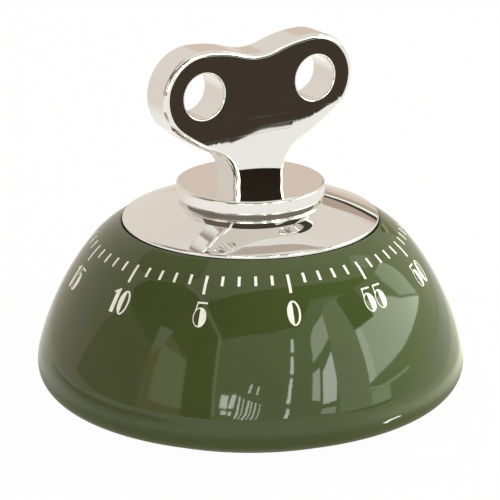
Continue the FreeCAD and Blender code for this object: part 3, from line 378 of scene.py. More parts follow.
card_thickness = 0.4
card_height = table_height / MM + card_thickness
runner_edge = [
    (66, -153), (87, -159.5), (97, -163), (107, -168), (116, -167), (123, -168),
    (133, -173), (190, -186), (260, -330), (66, -330),
]
card("dark_runner", [(x, y, card_height) for x, y in runner_edge], (0.05, 0.038, 0.027), 1.0)
card("dark_card", [
    (42.4, -95.6, 64), (66, -80.4, 64), (66, -80.4, 98), (42.4, -95.6, 98),
], (0.02, 0.013, 0.008), 1.0)
card("light_card", [
    (-12, -36, 140), (62, -36, 140), (62, -72, 140), (-12, -72, 140),
], (0.74, 0.69, 0.62), 1.0)
glint_edge = [(9, -47.6), (8.6, -49.2), (12.5, -50.6), (16.8, -50.2), (16.5, -48.6), (12.5, -49.0)]
card("glint", [(x, y, card_height) for x, y in glint_edge], grey_light, 14.0)

# ---------------------------------------------------------------- lamps
# Three large soft lamps light the pieces without showing in them: daylight from the right,
# a warmer one from the left and a broad one from above and behind.

lamp_distance = 0.9


def soft_lamp(name, azimuth, elevation, size, watts, colour):
    """A square soft lamp aimed at the timer."""
    data = bpy.data.lights.new(name, "AREA")
    data.size = size
    data.energy = watts
    data.color = colour
    lamp = bpy.data.objects.new(name, data)
    lamp.location = in_room(azimuth, elevation, lamp_distance)
    lamp.rotation_mode = "QUATERNION"
    lamp.rotation_quaternion = (lamp.location - room_centre).to_track_quat("Z", "Y")
    lamp.visible_glossy = False
    lamp.visible_camera = False
    scene.collection.objects.link(lamp)


soft_lamp("lamp_right", 75, 35, 0.7, 5.0, (0.93, 1.0, 0.88))
soft_lamp("lamp_left", -95, 30, 0.8, 1.2, (1.0, 0.88, 0.72))
soft_lamp("lamp_above", 170, 70, 0.9, 2.0, (1.0, 0.98, 0.95))

# ---------------------------------------------------------------- camera
# The camera stands well back to the front left, a little above the key, with a long lens. It
# looks down at the timer and is rolled by a hair.

camera_place = (-325.0 * MM, -504.3 * MM, 232.9 * MM)
camera_data = bpy.data.cameras.new("camera")
camera_data.lens = 219.04
camera_data.sensor_width = 36.0
camera_data.clip_start = 0.05
camera_data.clip_end = 20.0
camera = bpy.data.objects.new("camera", camera_data)
scene.collection.objects.link(camera)
scene.camera = camera
camera_turn, camera_dip, camera_roll = radians(32.791), radians(18.627), -0.00105
forward = Vector(
    (sin(camera_turn) * cos(camera_dip), cos(camera_turn) * cos(camera_dip), -sin(camera_dip))
)
level_right = forward.cross(Vector((0, 0, 1))).normalized()
level_up = level_right.cross(forward)
right = cos(camera_roll) * level_right + sin(camera_roll) * level_up
up = cos(camera_roll) * level_up - sin(camera_roll) * level_right
camera_axes = Matrix((right, up, -forward)).transposed().to_4x4()
camera.matrix_world = Matrix.Translation(camera_place) @ camera_axes

# ---------------------------------------------------------------- housing
# One dome moulded in high-gloss olive plastic with a 2 mm wall: a rim round the cap's recess,
# a shelf that carries the movement, three screw bosses under it and three lugs for the base.

rim_radius, rim_top = 26.85, 37.69
rim_rounding, rim_drop = 0.12, 0.06
wall, dome_foot = 2.0, 1.0
dome_runs = [
    (rim_radius, rim_top),
    (33.87, 31.91, -20.78),
    (44.14, 11.3, -58.27),
    (44.66, 7.39, -15.0),
    (41.11, 2.21, -5.56),
    (37.7, dome_foot, -60.0),
]
shelf_top, shelf_bottom, shelf_hole, shelf_outer = 35.3, 33.6, 6.6, 29.4
base_ledge, base_opening = 3.9, 36.6
boss_circle, boss_radius, boss_bore = 22.0, 2.6, 1.0
boss_top, boss_foot, boss_chamfer = 33.7, 28.0, 0.2
lug_inner, lug_outer, lug_half_width = 30.6, 41.2, 2.8
lug_bottom, lug_top = 3.45, 8.4


def walk(runs, step=0.7, bend=4.0):
    """Points along straight runs and arcs, step millimetres and bend degrees apart or closer on
    the arcs. A run (x, y, radius) arrives on an arc of that radius, which turns left when it is
    positive and right when it is negative."""
    points = [runs[0][:2]]
    for run in runs[1:]:
        (x0, y0), (x1, y1) = points[-1], run[:2]
        if len(run) == 3:
            radius = run[2]
            chord = hypot(x1 - x0, y1 - y0)
            reach = sqrt(radius * radius - chord * chord / 4) * (1 if radius > 0 else -1)
            cx = (x0 + x1) / 2 - (y1 - y0) / chord * reach
            cy = (y0 + y1) / 2 + (x1 - x0) / chord * reach
            sweep = 2 * asin(chord / 2 / abs(radius)) * (1 if radius > 0 else -1)
            start = atan2(y0 - cy, x0 - cx)
            count = max(2, ceil(abs(sweep) / radians(bend)), ceil(abs(sweep * radius) / step))
            for index in range(1, count):
                angle = start + sweep * index / count
                points.append((cx + abs(radius) * cos(angle), cy + abs(radius) * sin(angle)))
        points.append((x1, y1))
    return points


def side_normals(points):
    """The unit normal to the left of the walk at each point."""
    normals = []
    for before, after in zip(points[:1] + points[:-1], points[1:] + points[-1:]):
        dx, dy = after[0] - before[0], after[1] - before[1]
        length = hypot(dx, dy)
        normals.append((-dy / length, dx / length))
    return normals


def link_piece(name, mesh, material):
    """A piece from a bmesh: smooth faces, crisp edges past 32 degrees, flat faces kept flat."""
    data = bpy.data.meshes.new(name)
    bmesh.ops.recalc_face_normals(mesh, faces=mesh.faces)
    mesh.to_mesh(data)
    mesh.free()
    data.shade_smooth()
    data.set_sharp_from_angle(angle=radians(32))
    data.materials.append(material)
    piece = bpy.data.objects.new(name, data)
    bpy.context.scene.collection.objects.link(piece)
    flats = piece.modifiers.new("flat_faces", "WEIGHTED_NORMAL")
    flats.keep_sharp = True
    return piece


def turn(mesh, outline, centre=(0.0, 0.0), segments=256):
    """Turn a closed half section, in millimetres, round a vertical axis into a bmesh."""
    rings = []
    for radius, height in outline:
        ring = []
        for index in range(segments if radius > 0 else 1):
            angle = 2 * pi * index / segments
            x = centre[0] + radius * cos(angle)
            y = centre[1] + radius * sin(angle)
            ring.append(mesh.verts.new((x * MM, y * MM, height * MM)))
        rings.append(ring)
    for inner, outer in zip(rings, rings[1:] + rings[:1]):
        for index in range(segments):
            after = (index + 1) % segments
            corners = [
                inner[index % len(inner)],
                outer[index % len(outer)],
                outer[after % len(outer)],
                inner[after % len(inner)],
            ]
            distinct = [v for place, v in enumerate(corners) if v not in corners[:place]]
            if len(distinct) > 2:
                mesh.faces.new(distinct)


def stand(mesh, outline, bottom, top):
    """Raise a closed outline, in millimetres, into a block of a bmesh."""
    floors = [
        [mesh.verts.new((x * MM, y * MM, height * MM)) for x, y in outline]
        for height in (bottom, top)
    ]
    for index in range(len(outline)):
        after = (index + 1) % len(outline)
        mesh.faces.new(
            (floors[0][index], floors[0][after], floors[1][after], floors[1][index])
        )
    mesh.faces.new(floors[0][::-1])
    mesh.faces.new(floors[1])


outside = walk(dome_runs)
inside = [
    (r - nr * wall, z - nz * wall)
    for (r, z), (nr, nz) in zip(outside, side_normals(outside))
]
inside = [(r, z) for r, z in inside if base_ledge < z < shelf_bottom and r > shelf_outer]
rim_arc = walk([
    (rim_radius, rim_top - rim_rounding),
    (rim_radius + rim_rounding, rim_top - rim_drop, -rim_rounding),
])
housing_outline = (
    [(rim_radius, shelf_top)]
    + rim_arc
    + outside[1:]
    + [(base_opening, dome_foot), (base_opening, base_ledge), (inside[-1][0], base_ledge)]
    + inside[::-1]
    + [(shelf_outer, shelf_bottom), (shelf_hole, shelf_bottom), (shelf_hole, shelf_top)]
)

mesh = bmesh.new()
turn(mesh, housing_outline)
boss = [
    (boss_bore, boss_top),
    (boss_bore, boss_foot + boss_chamfer),
    (boss_bore + boss_chamfer, boss_foot),
    (boss_radius - boss_chamfer, boss_foot),
    (boss_radius, boss_foot + boss_chamfer),
    (boss_radius, boss_top),
]
for bearing in (-10, 110, 230):
    place = (boss_circle * cos(radians(bearing)), boss_circle * sin(radians(bearing)))
    turn(mesh, boss, place, 48)
lug_sides = [
    (lug_inner, -lug_half_width), (lug_outer, -lug_half_width),
    (lug_outer, lug_half_width), (lug_inner, lug_half_width),
]
for bearing in (0, 120, 240):
    c, s = cos(radians(bearing)), sin(radians(bearing))
    stand(mesh, [(x * c - y * s, x * s + y * c) for x, y in lug_sides], lug_bottom, lug_top)


def new_group(name, inputs, output):
    """A shader group with named inputs and one mask; returns its tree, its inputs and its end."""
    tree = bpy.data.node_groups.new(name, "ShaderNodeTree")
    for socket, value in inputs.items():
        made = tree.interface.new_socket(socket, in_out="INPUT", socket_type="NodeSocketFloat")
        made.default_value = value
    tree.interface.new_socket(output, in_out="OUTPUT", socket_type="NodeSocketFloat")
    start = tree.nodes.new("NodeGroupInput")
    start.location = (-1400, 0)
    end = tree.nodes.new("NodeGroupOutput")
    end.location = (900, 0)
    return tree, start.outputs, end.inputs[output]


def use_group(tree, group, place, **values):
    """The mask of a group placed in a material with its own values."""
    return add_node(tree, "Group", place, values, node_tree=group).outputs[0]


# Fine straight hairlines in three directions, as wiping leaves on gloss and plating.
hairlines, given, mask = new_group("hairlines", {"Scale": 1.0, "Density": 0.3}, "Lines")
place_on = add_node(hairlines, "TexCoord", (-1400, 300)).outputs["Object"]
lines = None
for index, turn_by in enumerate(((0.3, 0.2, 0.5), (1.1, 0.7, 2.0), (2.1, 1.9, 0.9))):
    row = 300 - 300 * index
    spun = add_node(hairlines, "Mapping", (-1150, row), {
        "Vector": place_on, "Rotation": turn_by, "Scale": (40.0, 2600.0, 2600.0),
    })
    streak = add_node(hairlines, "TexNoise", (-900, row), {
        "Vector": spun.outputs[0], "Scale": given["Scale"], "Detail": 1.0,
    })
    line = add_node(hairlines, "MapRange", (-650, row), {
        "Value": streak.outputs[0], "From Min": 0.68, "From Max": 0.76,
    }).outputs[0]
    lines = line if lines is None else reckon(hairlines, "MAXIMUM", (-400, row), lines, line)
thinned = reckon(hairlines, "MULTIPLY", (0, 0), lines, given["Density"])
hairlines.links.new(thinned, mask)

# Broad soft smears and small drifts of tone, as handling and plating leave.
smears, given, mask = new_group("smears", {"Scale": 60.0}, "Smear")
place_on = add_node(smears, "TexCoord", (-1200, 0)).outputs["Object"]
cloud = add_node(smears, "TexNoise", (-900, 100), {
    "Vector": place_on, "Scale": given["Scale"], "Detail": 5.0, "Distortion": 0.6,
})
smeared = add_node(smears, "MapRange", (-600, 100), {
    "Value": cloud.outputs[0], "From Min": 0.36, "From Max": 0.66,
})
smears.links.new(smeared.outputs[0], mask)

# Sparse settled specks of dust: the middles of a few cells.
specks, given, mask = new_group("specks", {"Scale": 900.0, "Amount": 1.0}, "Speck")
place_on = add_node(specks, "TexCoord", (-1200, 0)).outputs["Object"]
cells = add_node(specks, "TexVoronoi", (-900, 100), {
    "Vector": place_on, "Scale": given["Scale"], "Randomness": 1.0,
})
middle = add_node(specks, "MapRange", (-600, 100), {
    "Value": cells.outputs["Distance"], "From Min": 0.13, "From Max": 0.07,
})
rare = add_node(specks, "SeparateColor", (-600, -200), {0: cells.outputs["Color"]})
chosen = reckon(specks, "GREATER_THAN", (-400, -200), rare.outputs[0], 0.86)
speck = reckon(specks, "MULTIPLY", (-200, 0), middle.outputs[0], chosen)
specks.links.new(reckon(specks, "MULTIPLY", (0, 0), speck, given["Amount"]), mask)


def feed(tree, value, socket):
    """Give a value or colour to the material's shader."""
    tree.links.new(value, tree.nodes["Principled BSDF"].inputs[socket])


def blend_value(tree, share, low, high, place):
    """A value that goes from low to high with a share of 0 to 1."""
    ranged = add_node(tree, "MapRange", place, {"Value": share, "To Min": low, "To Max": high})
    return ranged.outputs[0]


def add_values(tree, first, second, share, place):
    """first + share * second."""
    return reckon(tree, "MULTIPLY_ADD", place, second, share, first)


def add_bump(tree, height, depth, strength):
    """A bump from a height of 0 to 1, depth in millimetres."""
    bump = add_node(tree, "Bump", (-250, -400), {
        "Strength": strength, "Distance": depth * MM, "Height": height,
    })
    feed(tree, bump.outputs[0], "Normal")


olive_gloss = new_material("olive_gloss", IOR=1.5, Specular_IOR_Level=0.5)
tree = olive_gloss.node_tree
smear = use_group(tree, smears, (-900, 200), Scale=45.0)
grain = use_group(tree, smears, (-900, 0), Scale=240.0)
scratch = use_group(tree, hairlines, (-900, -200), Scale=1.0, Density=0.5)
dust = use_group(tree, specks, (-900, -400), Scale=700.0, Amount=0.15)
pigment = mix_colours(tree, smear, (0.047, 0.063, 0.018), (0.052, 0.070, 0.020), (-600, 400))
dusty = mix_colours(tree, dust, pigment, (0.30, 0.31, 0.26), (-350, 400))
feed(tree, dusty, "Base Color")
polish = blend_value(tree, smear, 0.035, 0.06, (-600, 150))
worn = add_values(tree, polish, scratch, 0.10, (-350, 150))
settled = add_values(tree, worn, dust, 0.3, (-200, 100))
feed(tree, settled, "Roughness")
add_bump(tree, grain, 0.012, 0.12)

housing = link_piece("dome_housing", mesh, olive_gloss)
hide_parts("housing_shell")
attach(housing, "housing")

# ---------------------------------------------------------------- minute scale
# Sixty marks and twelve numbers pad-printed in ivory ink on the dome below the rim. They run
# clockwise seen from above, in narrow figures with one heavy and one hairline side. The print
# comes nearest to the rim in front.

zero_bearing = -18.9
mark_width = 0.57
mark_start, long_mark_end, short_mark_end = 4.08, 8.22, 6.28
figure_top, figure_height, figure_width = 9.83, 5.2, 2.75
figure_gap, one_shift = 0.12, -0.1
print_offset = 1.35
ink_height, ink_sink = 0.03, 0.02
ink_grid = 0.7

dome_line = walk(dome_runs, 0.25, 1.0)
line_normals = side_normals(dome_line)
line_lengths = [0.0]
for (r0, z0), (r1, z1) in zip(dome_line, dome_line[1:]):
    line_lengths.append(line_lengths[-1] + hypot(r1 - r0, z1 - z0))


def on_dome(bearing, across, along, height):
    """The point on the dome at a bearing, so far across it and so far down from the rim."""
    index = max(i for i, length in enumerate(line_lengths) if length <= along)
    share = (along - line_lengths[index]) / (line_lengths[index + 1] - line_lengths[index])
    (r0, z0), (r1, z1) = dome_line[index : index + 2]
    (a0, b0), (a1, b1) = line_normals[index : index + 2]
    r = r0 + (r1 - r0) * share
    z = z0 + (z1 - z0) * share
    angle = radians(bearing) + across / r
    r += (a0 + (a1 - a0) * share) * height
    z += (b0 + (b1 - b0) * share) * height
    return Vector((r * sin(angle), -r * cos(angle), z)) * MM


def oval(x, y, half_width, half_height, start=0, end=360, count=40):
    """Points round an oval, or part of one, from one angle to another in degrees."""
    whole = end - start == 360
    steps = count if whole else count + 1
    return [
        (
            x + half_width * cos(radians(start + (end - start) * index / count)),
            y + half_height * sin(radians(start + (end - start) * index / count)),
        )
        for index in range(steps)
    ]


# Each figure is drawn in a box 1 wide and 1 high, as areas added (True) or cut (False) in turn.
figures = {
    "0": [
        (True, oval(0.5, 0.5, 0.5, 0.5)),
        (False, oval(0.45, 0.5, 0.40, 0.44, -90, 90, 24)),
    ],
    "1": [
        (True, [(0.34, 0), (0.72, 0), (0.72, 1), (0.62, 1), (0.12, 0.82), (0.12, 0.77), (0.34, 0.81)]),
    ],
    "2": [
        (True, oval(0.5, 0.72, 0.46, 0.28)),
        (False, oval(0.5, 0.72, 0.36, 0.245, 90, 270, 24)),
        (False, [(-0.1, 0.70), (0.52, 0.70), (0.52, 0.4), (-0.1, 0.4)]),
        (True, oval(0.19, 0.73, 0.17, 0.065)),
        (True, [(0.56, 0.52), (0.95, 0.68), (0.86, 0.52), (0.36, 0.14), (0.04, 0.0), (0.04, 0.06)]),
        (True, [(0.04, 0.0), (0.92, 0.0), (0.99, 0.22), (0.94, 0.22), (0.84, 0.15), (0.3, 0.15)]),
    ],
    "3": [
        (True, oval(0.46, 0.755, 0.42, 0.245)),
        (False, oval(0.44, 0.755, 0.34, 0.21, 90, 270, 24)),
        (False, [(-0.1, 0.75), (0.44, 0.75), (0.44, 0.55), (-0.1, 0.55)]),
        (True, oval(0.5, 0.28, 0.5, 0.28)),
        (False, oval(0.48, 0.28, 0.42, 0.245, 90, 270, 24)),
        (False, [(-0.1, 0.29), (0.40, 0.29), (0.40, 0.6), (-0.1, 0.6)]),
        (True, oval(0.16, 0.775, 0.15, 0.06)),
        (True, oval(0.17, 0.25, 0.17, 0.065)),
        (True, [(0.3, 0.535), (0.6, 0.56), (0.6, 0.49), (0.3, 0.495)]),
    ],
    "4": [
        (True, [(0.48, 0), (0.84, 0), (0.84, 1), (0.74, 1), (0.48, 0.80)]),
        (True, [(0.74, 1), (0.66, 1), (0.0, 0.29), (0.0, 0.23), (0.08, 0.27)]),
        (True, [(0.0, 0.23), (1.0, 0.23), (1.0, 0.28), (0.0, 0.28)]),
        (True, [(0.34, 0), (0.98, 0), (0.98, 0.035), (0.34, 0.035)]),
    ],
    "5": [
        (True, oval(0.5, 0.39, 0.5, 0.39)),
        (False, oval(0.48, 0.39, 0.42, 0.345, 90, 270, 24)),
        (True, [(0.10, 0.62), (0.18, 0.68), (0.27, 0.93), (0.95, 0.93), (0.95, 1.0), (0.20, 1.0)]),
    ],
}
figure_advance = {"0": 1.12, "1": 0.82, "2": 1.10, "3": 1.10, "4": 1.08, "5": 1.12}


def within(point, loop):
    """True when a point is inside a closed loop."""
    x, y = point
    inside_loop = False
    for (x0, y0), (x1, y1) in zip(loop, loop[1:] + loop[:1]):
        if (y0 > y) != (y1 > y) and x < x0 + (y - y0) / (y1 - y0) * (x1 - x0):
            inside_loop = not inside_loop
    return inside_loop


def inked_triangles(areas):
    """Fill the areas with small triangles, so that they can follow the dome."""
    points, edges = [], []
    for _, loop in areas:
        first = len(points)
        for (x0, y0), (x1, y1) in zip(loop, loop[1:] + loop[:1]):
            count = max(1, ceil(hypot(x1 - x0, y1 - y0) / ink_grid))
            points += [
                Vector((x0 + (x1 - x0) * k / count, y0 + (y1 - y0) * k / count))
                for k in range(count)
            ]
        last = len(points)
        edges += [(k, k + 1 if k + 1 < last else first) for k in range(first, last)]
    low = [min(p[axis] for p in points) for axis in (0, 1)]
    high = [max(p[axis] for p in points) for axis in (0, 1)]
    for row in range(1, int((high[1] - low[1]) / ink_grid) + 1):
        for column in range(1, int((high[0] - low[0]) / ink_grid) + 1):
            points.append(Vector((low[0] + column * ink_grid, low[1] + row * ink_grid)))
    made, _, faces, *_ = geometry.delaunay_2d_cdt(points, edges, [], 0, 1e-5)
    inked = []
    for face in faces:
        centre = sum((made[k] for k in face), Vector((0, 0))) / len(face)
        state = False
        for added, loop in areas:
            if within(centre, loop):
                state = added
        if state:
            inked.append(face)
    return made, inked


def print_area(mesh, bearing, areas):
    """Lay inked areas on the dome: across and down from the rim, in millimetres."""
    made, inked = inked_triangles(areas)
    drop = print_offset * (1 - cos(radians(bearing)))
    tops, feet = {}, {}
    for face in inked:
        for k in face:
            if k not in tops:
                across, along = made[k].x, made[k].y + drop
                tops[k] = mesh.verts.new(on_dome(bearing, across, along, ink_height))
                feet[k] = mesh.verts.new(on_dome(bearing, across, along, -ink_sink))
    sides = {}
    for face in inked:
        mesh.faces.new([tops[k] for k in face])
        mesh.faces.new([feet[k] for k in reversed(face)])
        for k, after in zip(face, face[1:] + face[:1]):
            sides[(k, after)] = True
    for k, after in sides:
        if (after, k) not in sides:
            mesh.faces.new((tops[after], tops[k], feet[k], feet[after]))


def figure_loop(loop, at):
    """A loop of a figure at its size, so many figure widths across, below the marks."""
    return [((at + x) * figure_width, figure_top + (1 - y) * figure_height) for x, y in loop]


mesh = bmesh.new()
for minute in range(60):
    bearing = zero_bearing - 360 / 60 * minute
    end_at = long_mark_end if minute % 5 == 0 else short_mark_end
    half = mark_width / 2
    mark = [(-half, mark_start), (half, mark_start), (half, end_at), (-half, end_at)]
    print_area(mesh, bearing, [(True, mark)])
    if minute % 5 == 0:
        figure = str(minute)
        total = sum(figure_advance[digit] for digit in figure) - figure_gap
        at = -total / 2
        for digit in figure:
            left = at + (one_shift if digit == "1" else 0.0)
            areas = [(added, figure_loop(loop, left)) for added, loop in figures[digit]]
            print_area(mesh, bearing, areas)
            at += figure_advance[digit]

ivory_ink = new_material("ivory_ink", IOR=1.48)
tree = ivory_ink.node_tree
patchy = use_group(tree, smears, (-900, 200), Scale=420.0)
pores = use_group(tree, specks, (-900, 0), Scale=3200.0)
ink_tone = mix_colours(tree, patchy, (0.79, 0.785, 0.73), (0.89, 0.885, 0.85), (-600, 300))
feed(tree, ink_tone, "Base Color")
feed(tree, blend_value(tree, patchy, 0.28, 0.4, (-600, 100)), "Roughness")
add_bump(tree, pores, 0.01, 0.3)
print_piece = link_piece("minute_print", mesh, ivory_ink)
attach(print_piece, "housing")

# ---------------------------------------------------------------- cap
# A shallow domed cap drawn from sheet and chrome plated, with a rolled corner and a short
# skirt that turns inside the rim. The key's disc sits over the hole in its middle.

cap_radius, cap_skirt, cap_wall, cap_hole = 26.6, 36.0, 1.3, 4.0
cap_sphere, cap_flat, cap_flat_top = 64.0, 13.0, 42.796
cap_edge, cap_side_top, cap_corner = 0.05, 38.0, 0.45
cap_corner_end = (26.33, 38.463)
under_flat, under_top, under_foot = 12.736, 41.523, 37.5
cap_runs = [
    (cap_radius - cap_wall, cap_skirt + cap_edge),
    (cap_radius - cap_wall + cap_edge, cap_skirt),
    (cap_radius - cap_edge, cap_skirt),
    (cap_radius, cap_skirt + cap_edge),
    (cap_radius, cap_side_top),
    (cap_radius, cap_side_top + cap_edge),
    (*cap_corner_end, cap_corner),
    (cap_flat, cap_flat_top, cap_sphere),
    (cap_hole, cap_flat_top),
    (cap_hole, under_top),
    (under_flat, under_top),
    (cap_radius - cap_wall, under_foot, -(cap_sphere - cap_wall)),
]
mesh = bmesh.new()
turn(mesh, walk(cap_runs, 0.6, 6.0))


def plated(name, colour, dull, lines, haze):
    """Bright plating: faint hairlines, a hazy drift in its polish, a few dust specks and a faint painted
    glow.
    """
    material = new_material(name, Metallic=1.0, Emission_Color=(0.13, 0.12, 0.105, 1))
    tree = material.node_tree
    smear = use_group(tree, smears, (-900, 200), Scale=70.0)
    ripple = use_group(tree, smears, (-900, 0), Scale=110.0)
    scratch = use_group(tree, hairlines, (-900, -200), Scale=1.0, Density=lines)
    dust = use_group(tree, specks, (-900, -400), Scale=800.0, Amount=0.1)
    duller = tuple(part * dull for part in colour)
    tone = mix_colours(tree, smear, colour, duller, (-600, 400))
    dusty = mix_colours(tree, dust, tone, (0.45, 0.44, 0.42), (-350, 400))
    feed(tree, dusty, "Base Color")
    polish = blend_value(tree, smear, haze * 0.5, haze, (-600, 150))
    worn = add_values(tree, polish, scratch, 0.12, (-350, 150))
    settled = add_values(tree, worn, dust, 0.3, (-200, 100))
    feed(tree, settled, "Roughness")
    add_bump(tree, ripple, 0.01, 0.1)
    # Light is not followed past a few mirror bounces, so a faint warm glow stands in for the rest.
    depth = add_node(tree, "LightPath", (-900, -600)).outputs["Glossy Depth"]
    feed(tree, reckon(tree, "GREATER_THAN", (-600, -600), depth, 3.5), "Emission Strength")
    return material


chrome = plated("chrome", (0.915, 0.905, 0.895), 0.97, 0.4, 0.03)
cap = link_piece("domed_cap", mesh, chrome)
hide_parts("cap_shell")
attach(cap, "knob")

# ---------------------------------------------------------------- disc
# A thick turned disc under the key, chrome plated, with rounded corners. A low seat under it
# rests on the cap and its spigot goes down through the hole into the hub.

disc_radius, disc_top, disc_underside, disc_round = 15.4, 45.97, 42.95, 0.55
seat_radius, spigot_radius, spigot_foot = 6.0, 3.85, 37.4
disc_runs = [
    (0.0, spigot_foot),
    (spigot_radius, spigot_foot),
    (spigot_radius, cap_flat_top),
    (seat_radius, cap_flat_top),
    (seat_radius, disc_underside),
    (disc_radius - disc_round, disc_underside),
    (disc_radius, disc_underside + disc_round, disc_round),
    (disc_radius, disc_top - disc_round),
    (disc_radius - disc_round, disc_top, disc_round),
    (0.0, disc_top),
]
mesh = bmesh.new()
turn(mesh, walk(disc_runs, 0.3, 10.0))
disc = link_piece("turned_disc", mesh, chrome)
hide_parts("key_disc")
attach(disc, "knob")

# ---------------------------------------------------------------- key
# A butterfly key cast in zinc and chrome plated: two round wings with a finger hole each, on a
# short neck. Its edges are rounded, and a screw from below holds it to the disc.

key_thickness, key_round, key_foot_depth, neck_half = 7.8, 1.1, 1.6, 6.08
hole_across, hole_up, hole_radius, hole_round = 13.4, 66.7, 4.7, 0.35
rounding_steps = 8
half_key = [
    (neck_half, disc_top - key_foot_depth),
    (neck_half, disc_top),
    (6.0, 47.45),
    (10.0, 53.65, -6.8),
    (19.13, 59.21, 43.7),
    (13.3, 75.98, 9.4),
    (3.93, 74.39, 28.4),
    (0.0, 73.72, -11.9),
]
right_side = walk(half_key, 0.5, 4.0)
key_outline = right_side + [(-x, z) for x, z in right_side[-2::-1]]
finger_holes = [
    oval(x, hole_up, hole_radius, hole_radius, count=96) for x in (-hole_across, hole_across)
]


def shrink(outline, distance):
    """Move each point of a closed counter-clockwise outline inwards by a distance."""
    moved = []
    for index, (x, y) in enumerate(outline):
        x0, y0 = outline[index - 1]
        x1, y1 = outline[(index + 1) % len(outline)]
        before, after = hypot(x - x0, y - y0), hypot(x1 - x, y1 - y)
        ax, ay = -(y - y0) / before, (x - x0) / before
        bx, by = -(y1 - y) / after, (x1 - x) / after
        spread = 1 + ax * bx + ay * by
        moved.append((x + (ax + bx) / spread * distance, y + (ay + by) / spread * distance))
    return moved


mesh = bmesh.new()
face_loops = {-1: [], 1: []}
for loop, rounding in [(key_outline, key_round)] + [(hole, -hole_round) for hole in finger_holes]:
    rings = []
    for side in (-1, 1):
        steps = range(rounding_steps + 1)
        for step in steps if side < 0 else reversed(steps):
            angle = pi / 2 * step / rounding_steps
            inset = shrink(loop, rounding * (1 - sin(angle)))
            depth = side * (key_thickness / 2 - abs(rounding) * (1 - cos(angle)))
            rings.append([mesh.verts.new((x * MM, depth * MM, z * MM)) for x, z in inset])
    face_loops[-1].append(rings[0])
    face_loops[1].append(rings[-1])
    for first, second in zip(rings, rings[1:]):
        for index in range(len(loop)):
            after = (index + 1) % len(loop)
            mesh.faces.new((first[index], first[after], second[after], second[index]))
for side, loops in face_loops.items():
    corners = [v for ring in loops for v in ring]
    edges, first = [], 0
    for ring in loops:
        edges += [(first + k, first + (k + 1) % len(ring)) for k in range(len(ring))]
        first += len(ring)
    flat = [Vector((v.co.x, v.co.z)) for v in corners]
    outlines = [[(v.co.x, v.co.z) for v in ring] for ring in loops]
    made, _, faces, origin, *_ = geometry.delaunay_2d_cdt(flat, edges, [], 0, 1e-9)
    for face in faces:
        centre = sum((made[k] for k in face), Vector((0, 0))) / len(face)
        if [within(centre, outline) for outline in outlines] == [True, False, False]:
            mesh.faces.new([corners[origin[k][0]] for k in face])
key = link_piece("butterfly_key", mesh, chrome)
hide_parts("key_grip")
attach(key, "knob")

# ---------------------------------------------------------------- base and foot
# A black moulded base plate with sixteen sound slots closes the dome. Three plated screws
# hold it to the lugs, and a rubber ring under it keeps the timer from slipping.


def finish_node(material, *names):
    """Give CAD nodes their material."""
    for name in names:
        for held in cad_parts[name].material_slots:
            held.material = material


def moulded(name, ior, tones, drift_scale, polish, skin_scale, skin_depth, skin_share):
    """Moulded plastic or rubber: broad drifts of tone and polish under a fine skin."""
    material = new_material(name, IOR=ior)
    tree = material.node_tree
    skin = use_group(tree, smears, (-900, 200), Scale=skin_scale)
    drift = use_group(tree, smears, (-900, 0), Scale=drift_scale)
    feed(tree, mix_colours(tree, drift, *tones, (-600, 300)), "Base Color")
    feed(tree, blend_value(tree, drift, *polish, (-600, 100)), "Roughness")
    add_bump(tree, skin, skin_depth, skin_share)
    return material


black_tones = (0.020, 0.020, 0.021), (0.032, 0.032, 0.034)
black_moulding = moulded("black_moulding", 1.5, black_tones, 90.0, (0.42, 0.58), 2600.0, 0.03, 0.5)
tree = black_moulding.node_tree
settled_dust = use_group(tree, specks, (-900, -200), Scale=900.0)
clean_black = tree.nodes["Principled BSDF"].inputs["Base Color"].links[0].from_socket
dusty_black = mix_colours(tree, settled_dust, clean_black, (0.2, 0.19, 0.18), (-350, 300))
feed(tree, dusty_black, "Base Color")
finish_node(black_moulding, "base_plate")

rubber_tones = (0.014, 0.014, 0.014), (0.034, 0.033, 0.031)
foot_rubber = moulded("foot_rubber", 1.45, rubber_tones, 120.0, (0.72, 0.9), 1800.0, 0.04, 0.6)
finish_node(foot_rubber, "foot_pad")


def milled(name, bright, shade, rough, streak_scale, streak_rough):
    """Bare or thinly plated metal: fine grain along the sheet, drifts of tone, hairlines."""
    material = new_material(name, Metallic=1.0)
    tree = material.node_tree
    drift = use_group(tree, smears, (-900, 300), Scale=150.0)
    grain = use_group(tree, smears, (-900, 100), Scale=streak_scale)
    scratch = use_group(tree, hairlines, (-900, -100), Scale=1.6, Density=0.9)
    tone = mix_colours(tree, drift, bright, shade, (-600, 400))
    feed(tree, tone, "Base Color")
    rough_value = blend_value(tree, grain, rough, rough + streak_rough, (-600, 150))
    worn = add_values(tree, rough_value, scratch, 0.2, (-350, 150))
    feed(tree, worn, "Roughness")
    add_bump(tree, grain, 0.01, 0.3)
    return material


plated_steel = milled("plated_steel", (0.66, 0.65, 0.62), (0.54, 0.54, 0.54), 0.22, 900.0, 0.12)
finish_node(plated_steel, "base_screws")

# ---------------------------------------------------------------- hub and spindle
# The ivory plastic hub under the cap sits on the movement's spindle and turns with it. Spindle,
# screws, pillars and the movement's two plates are plated steel.

ivory_tones = (0.80, 0.78, 0.69), (0.86, 0.845, 0.77)
ivory_plastic = moulded("ivory_plastic", 1.5, ivory_tones, 110.0, (0.35, 0.48), 1500.0, 0.02, 0.3)
finish_node(ivory_plastic, "knob_hub")
finish_node(
    plated_steel, "key_screw", "main_arbor", "pillars", "pillar_screws_top", "pillar_screws_bottom",
    "movement_screws", "top_plate", "bottom_plate",
)

# ---------------------------------------------------------------- wheel train
# Stamped brass wheels on cut steel pinions carry the turn of the spindle up to the escape wheel.
# The anchor, the hammer with its arm, the trip cam and the posts are of the same steel.

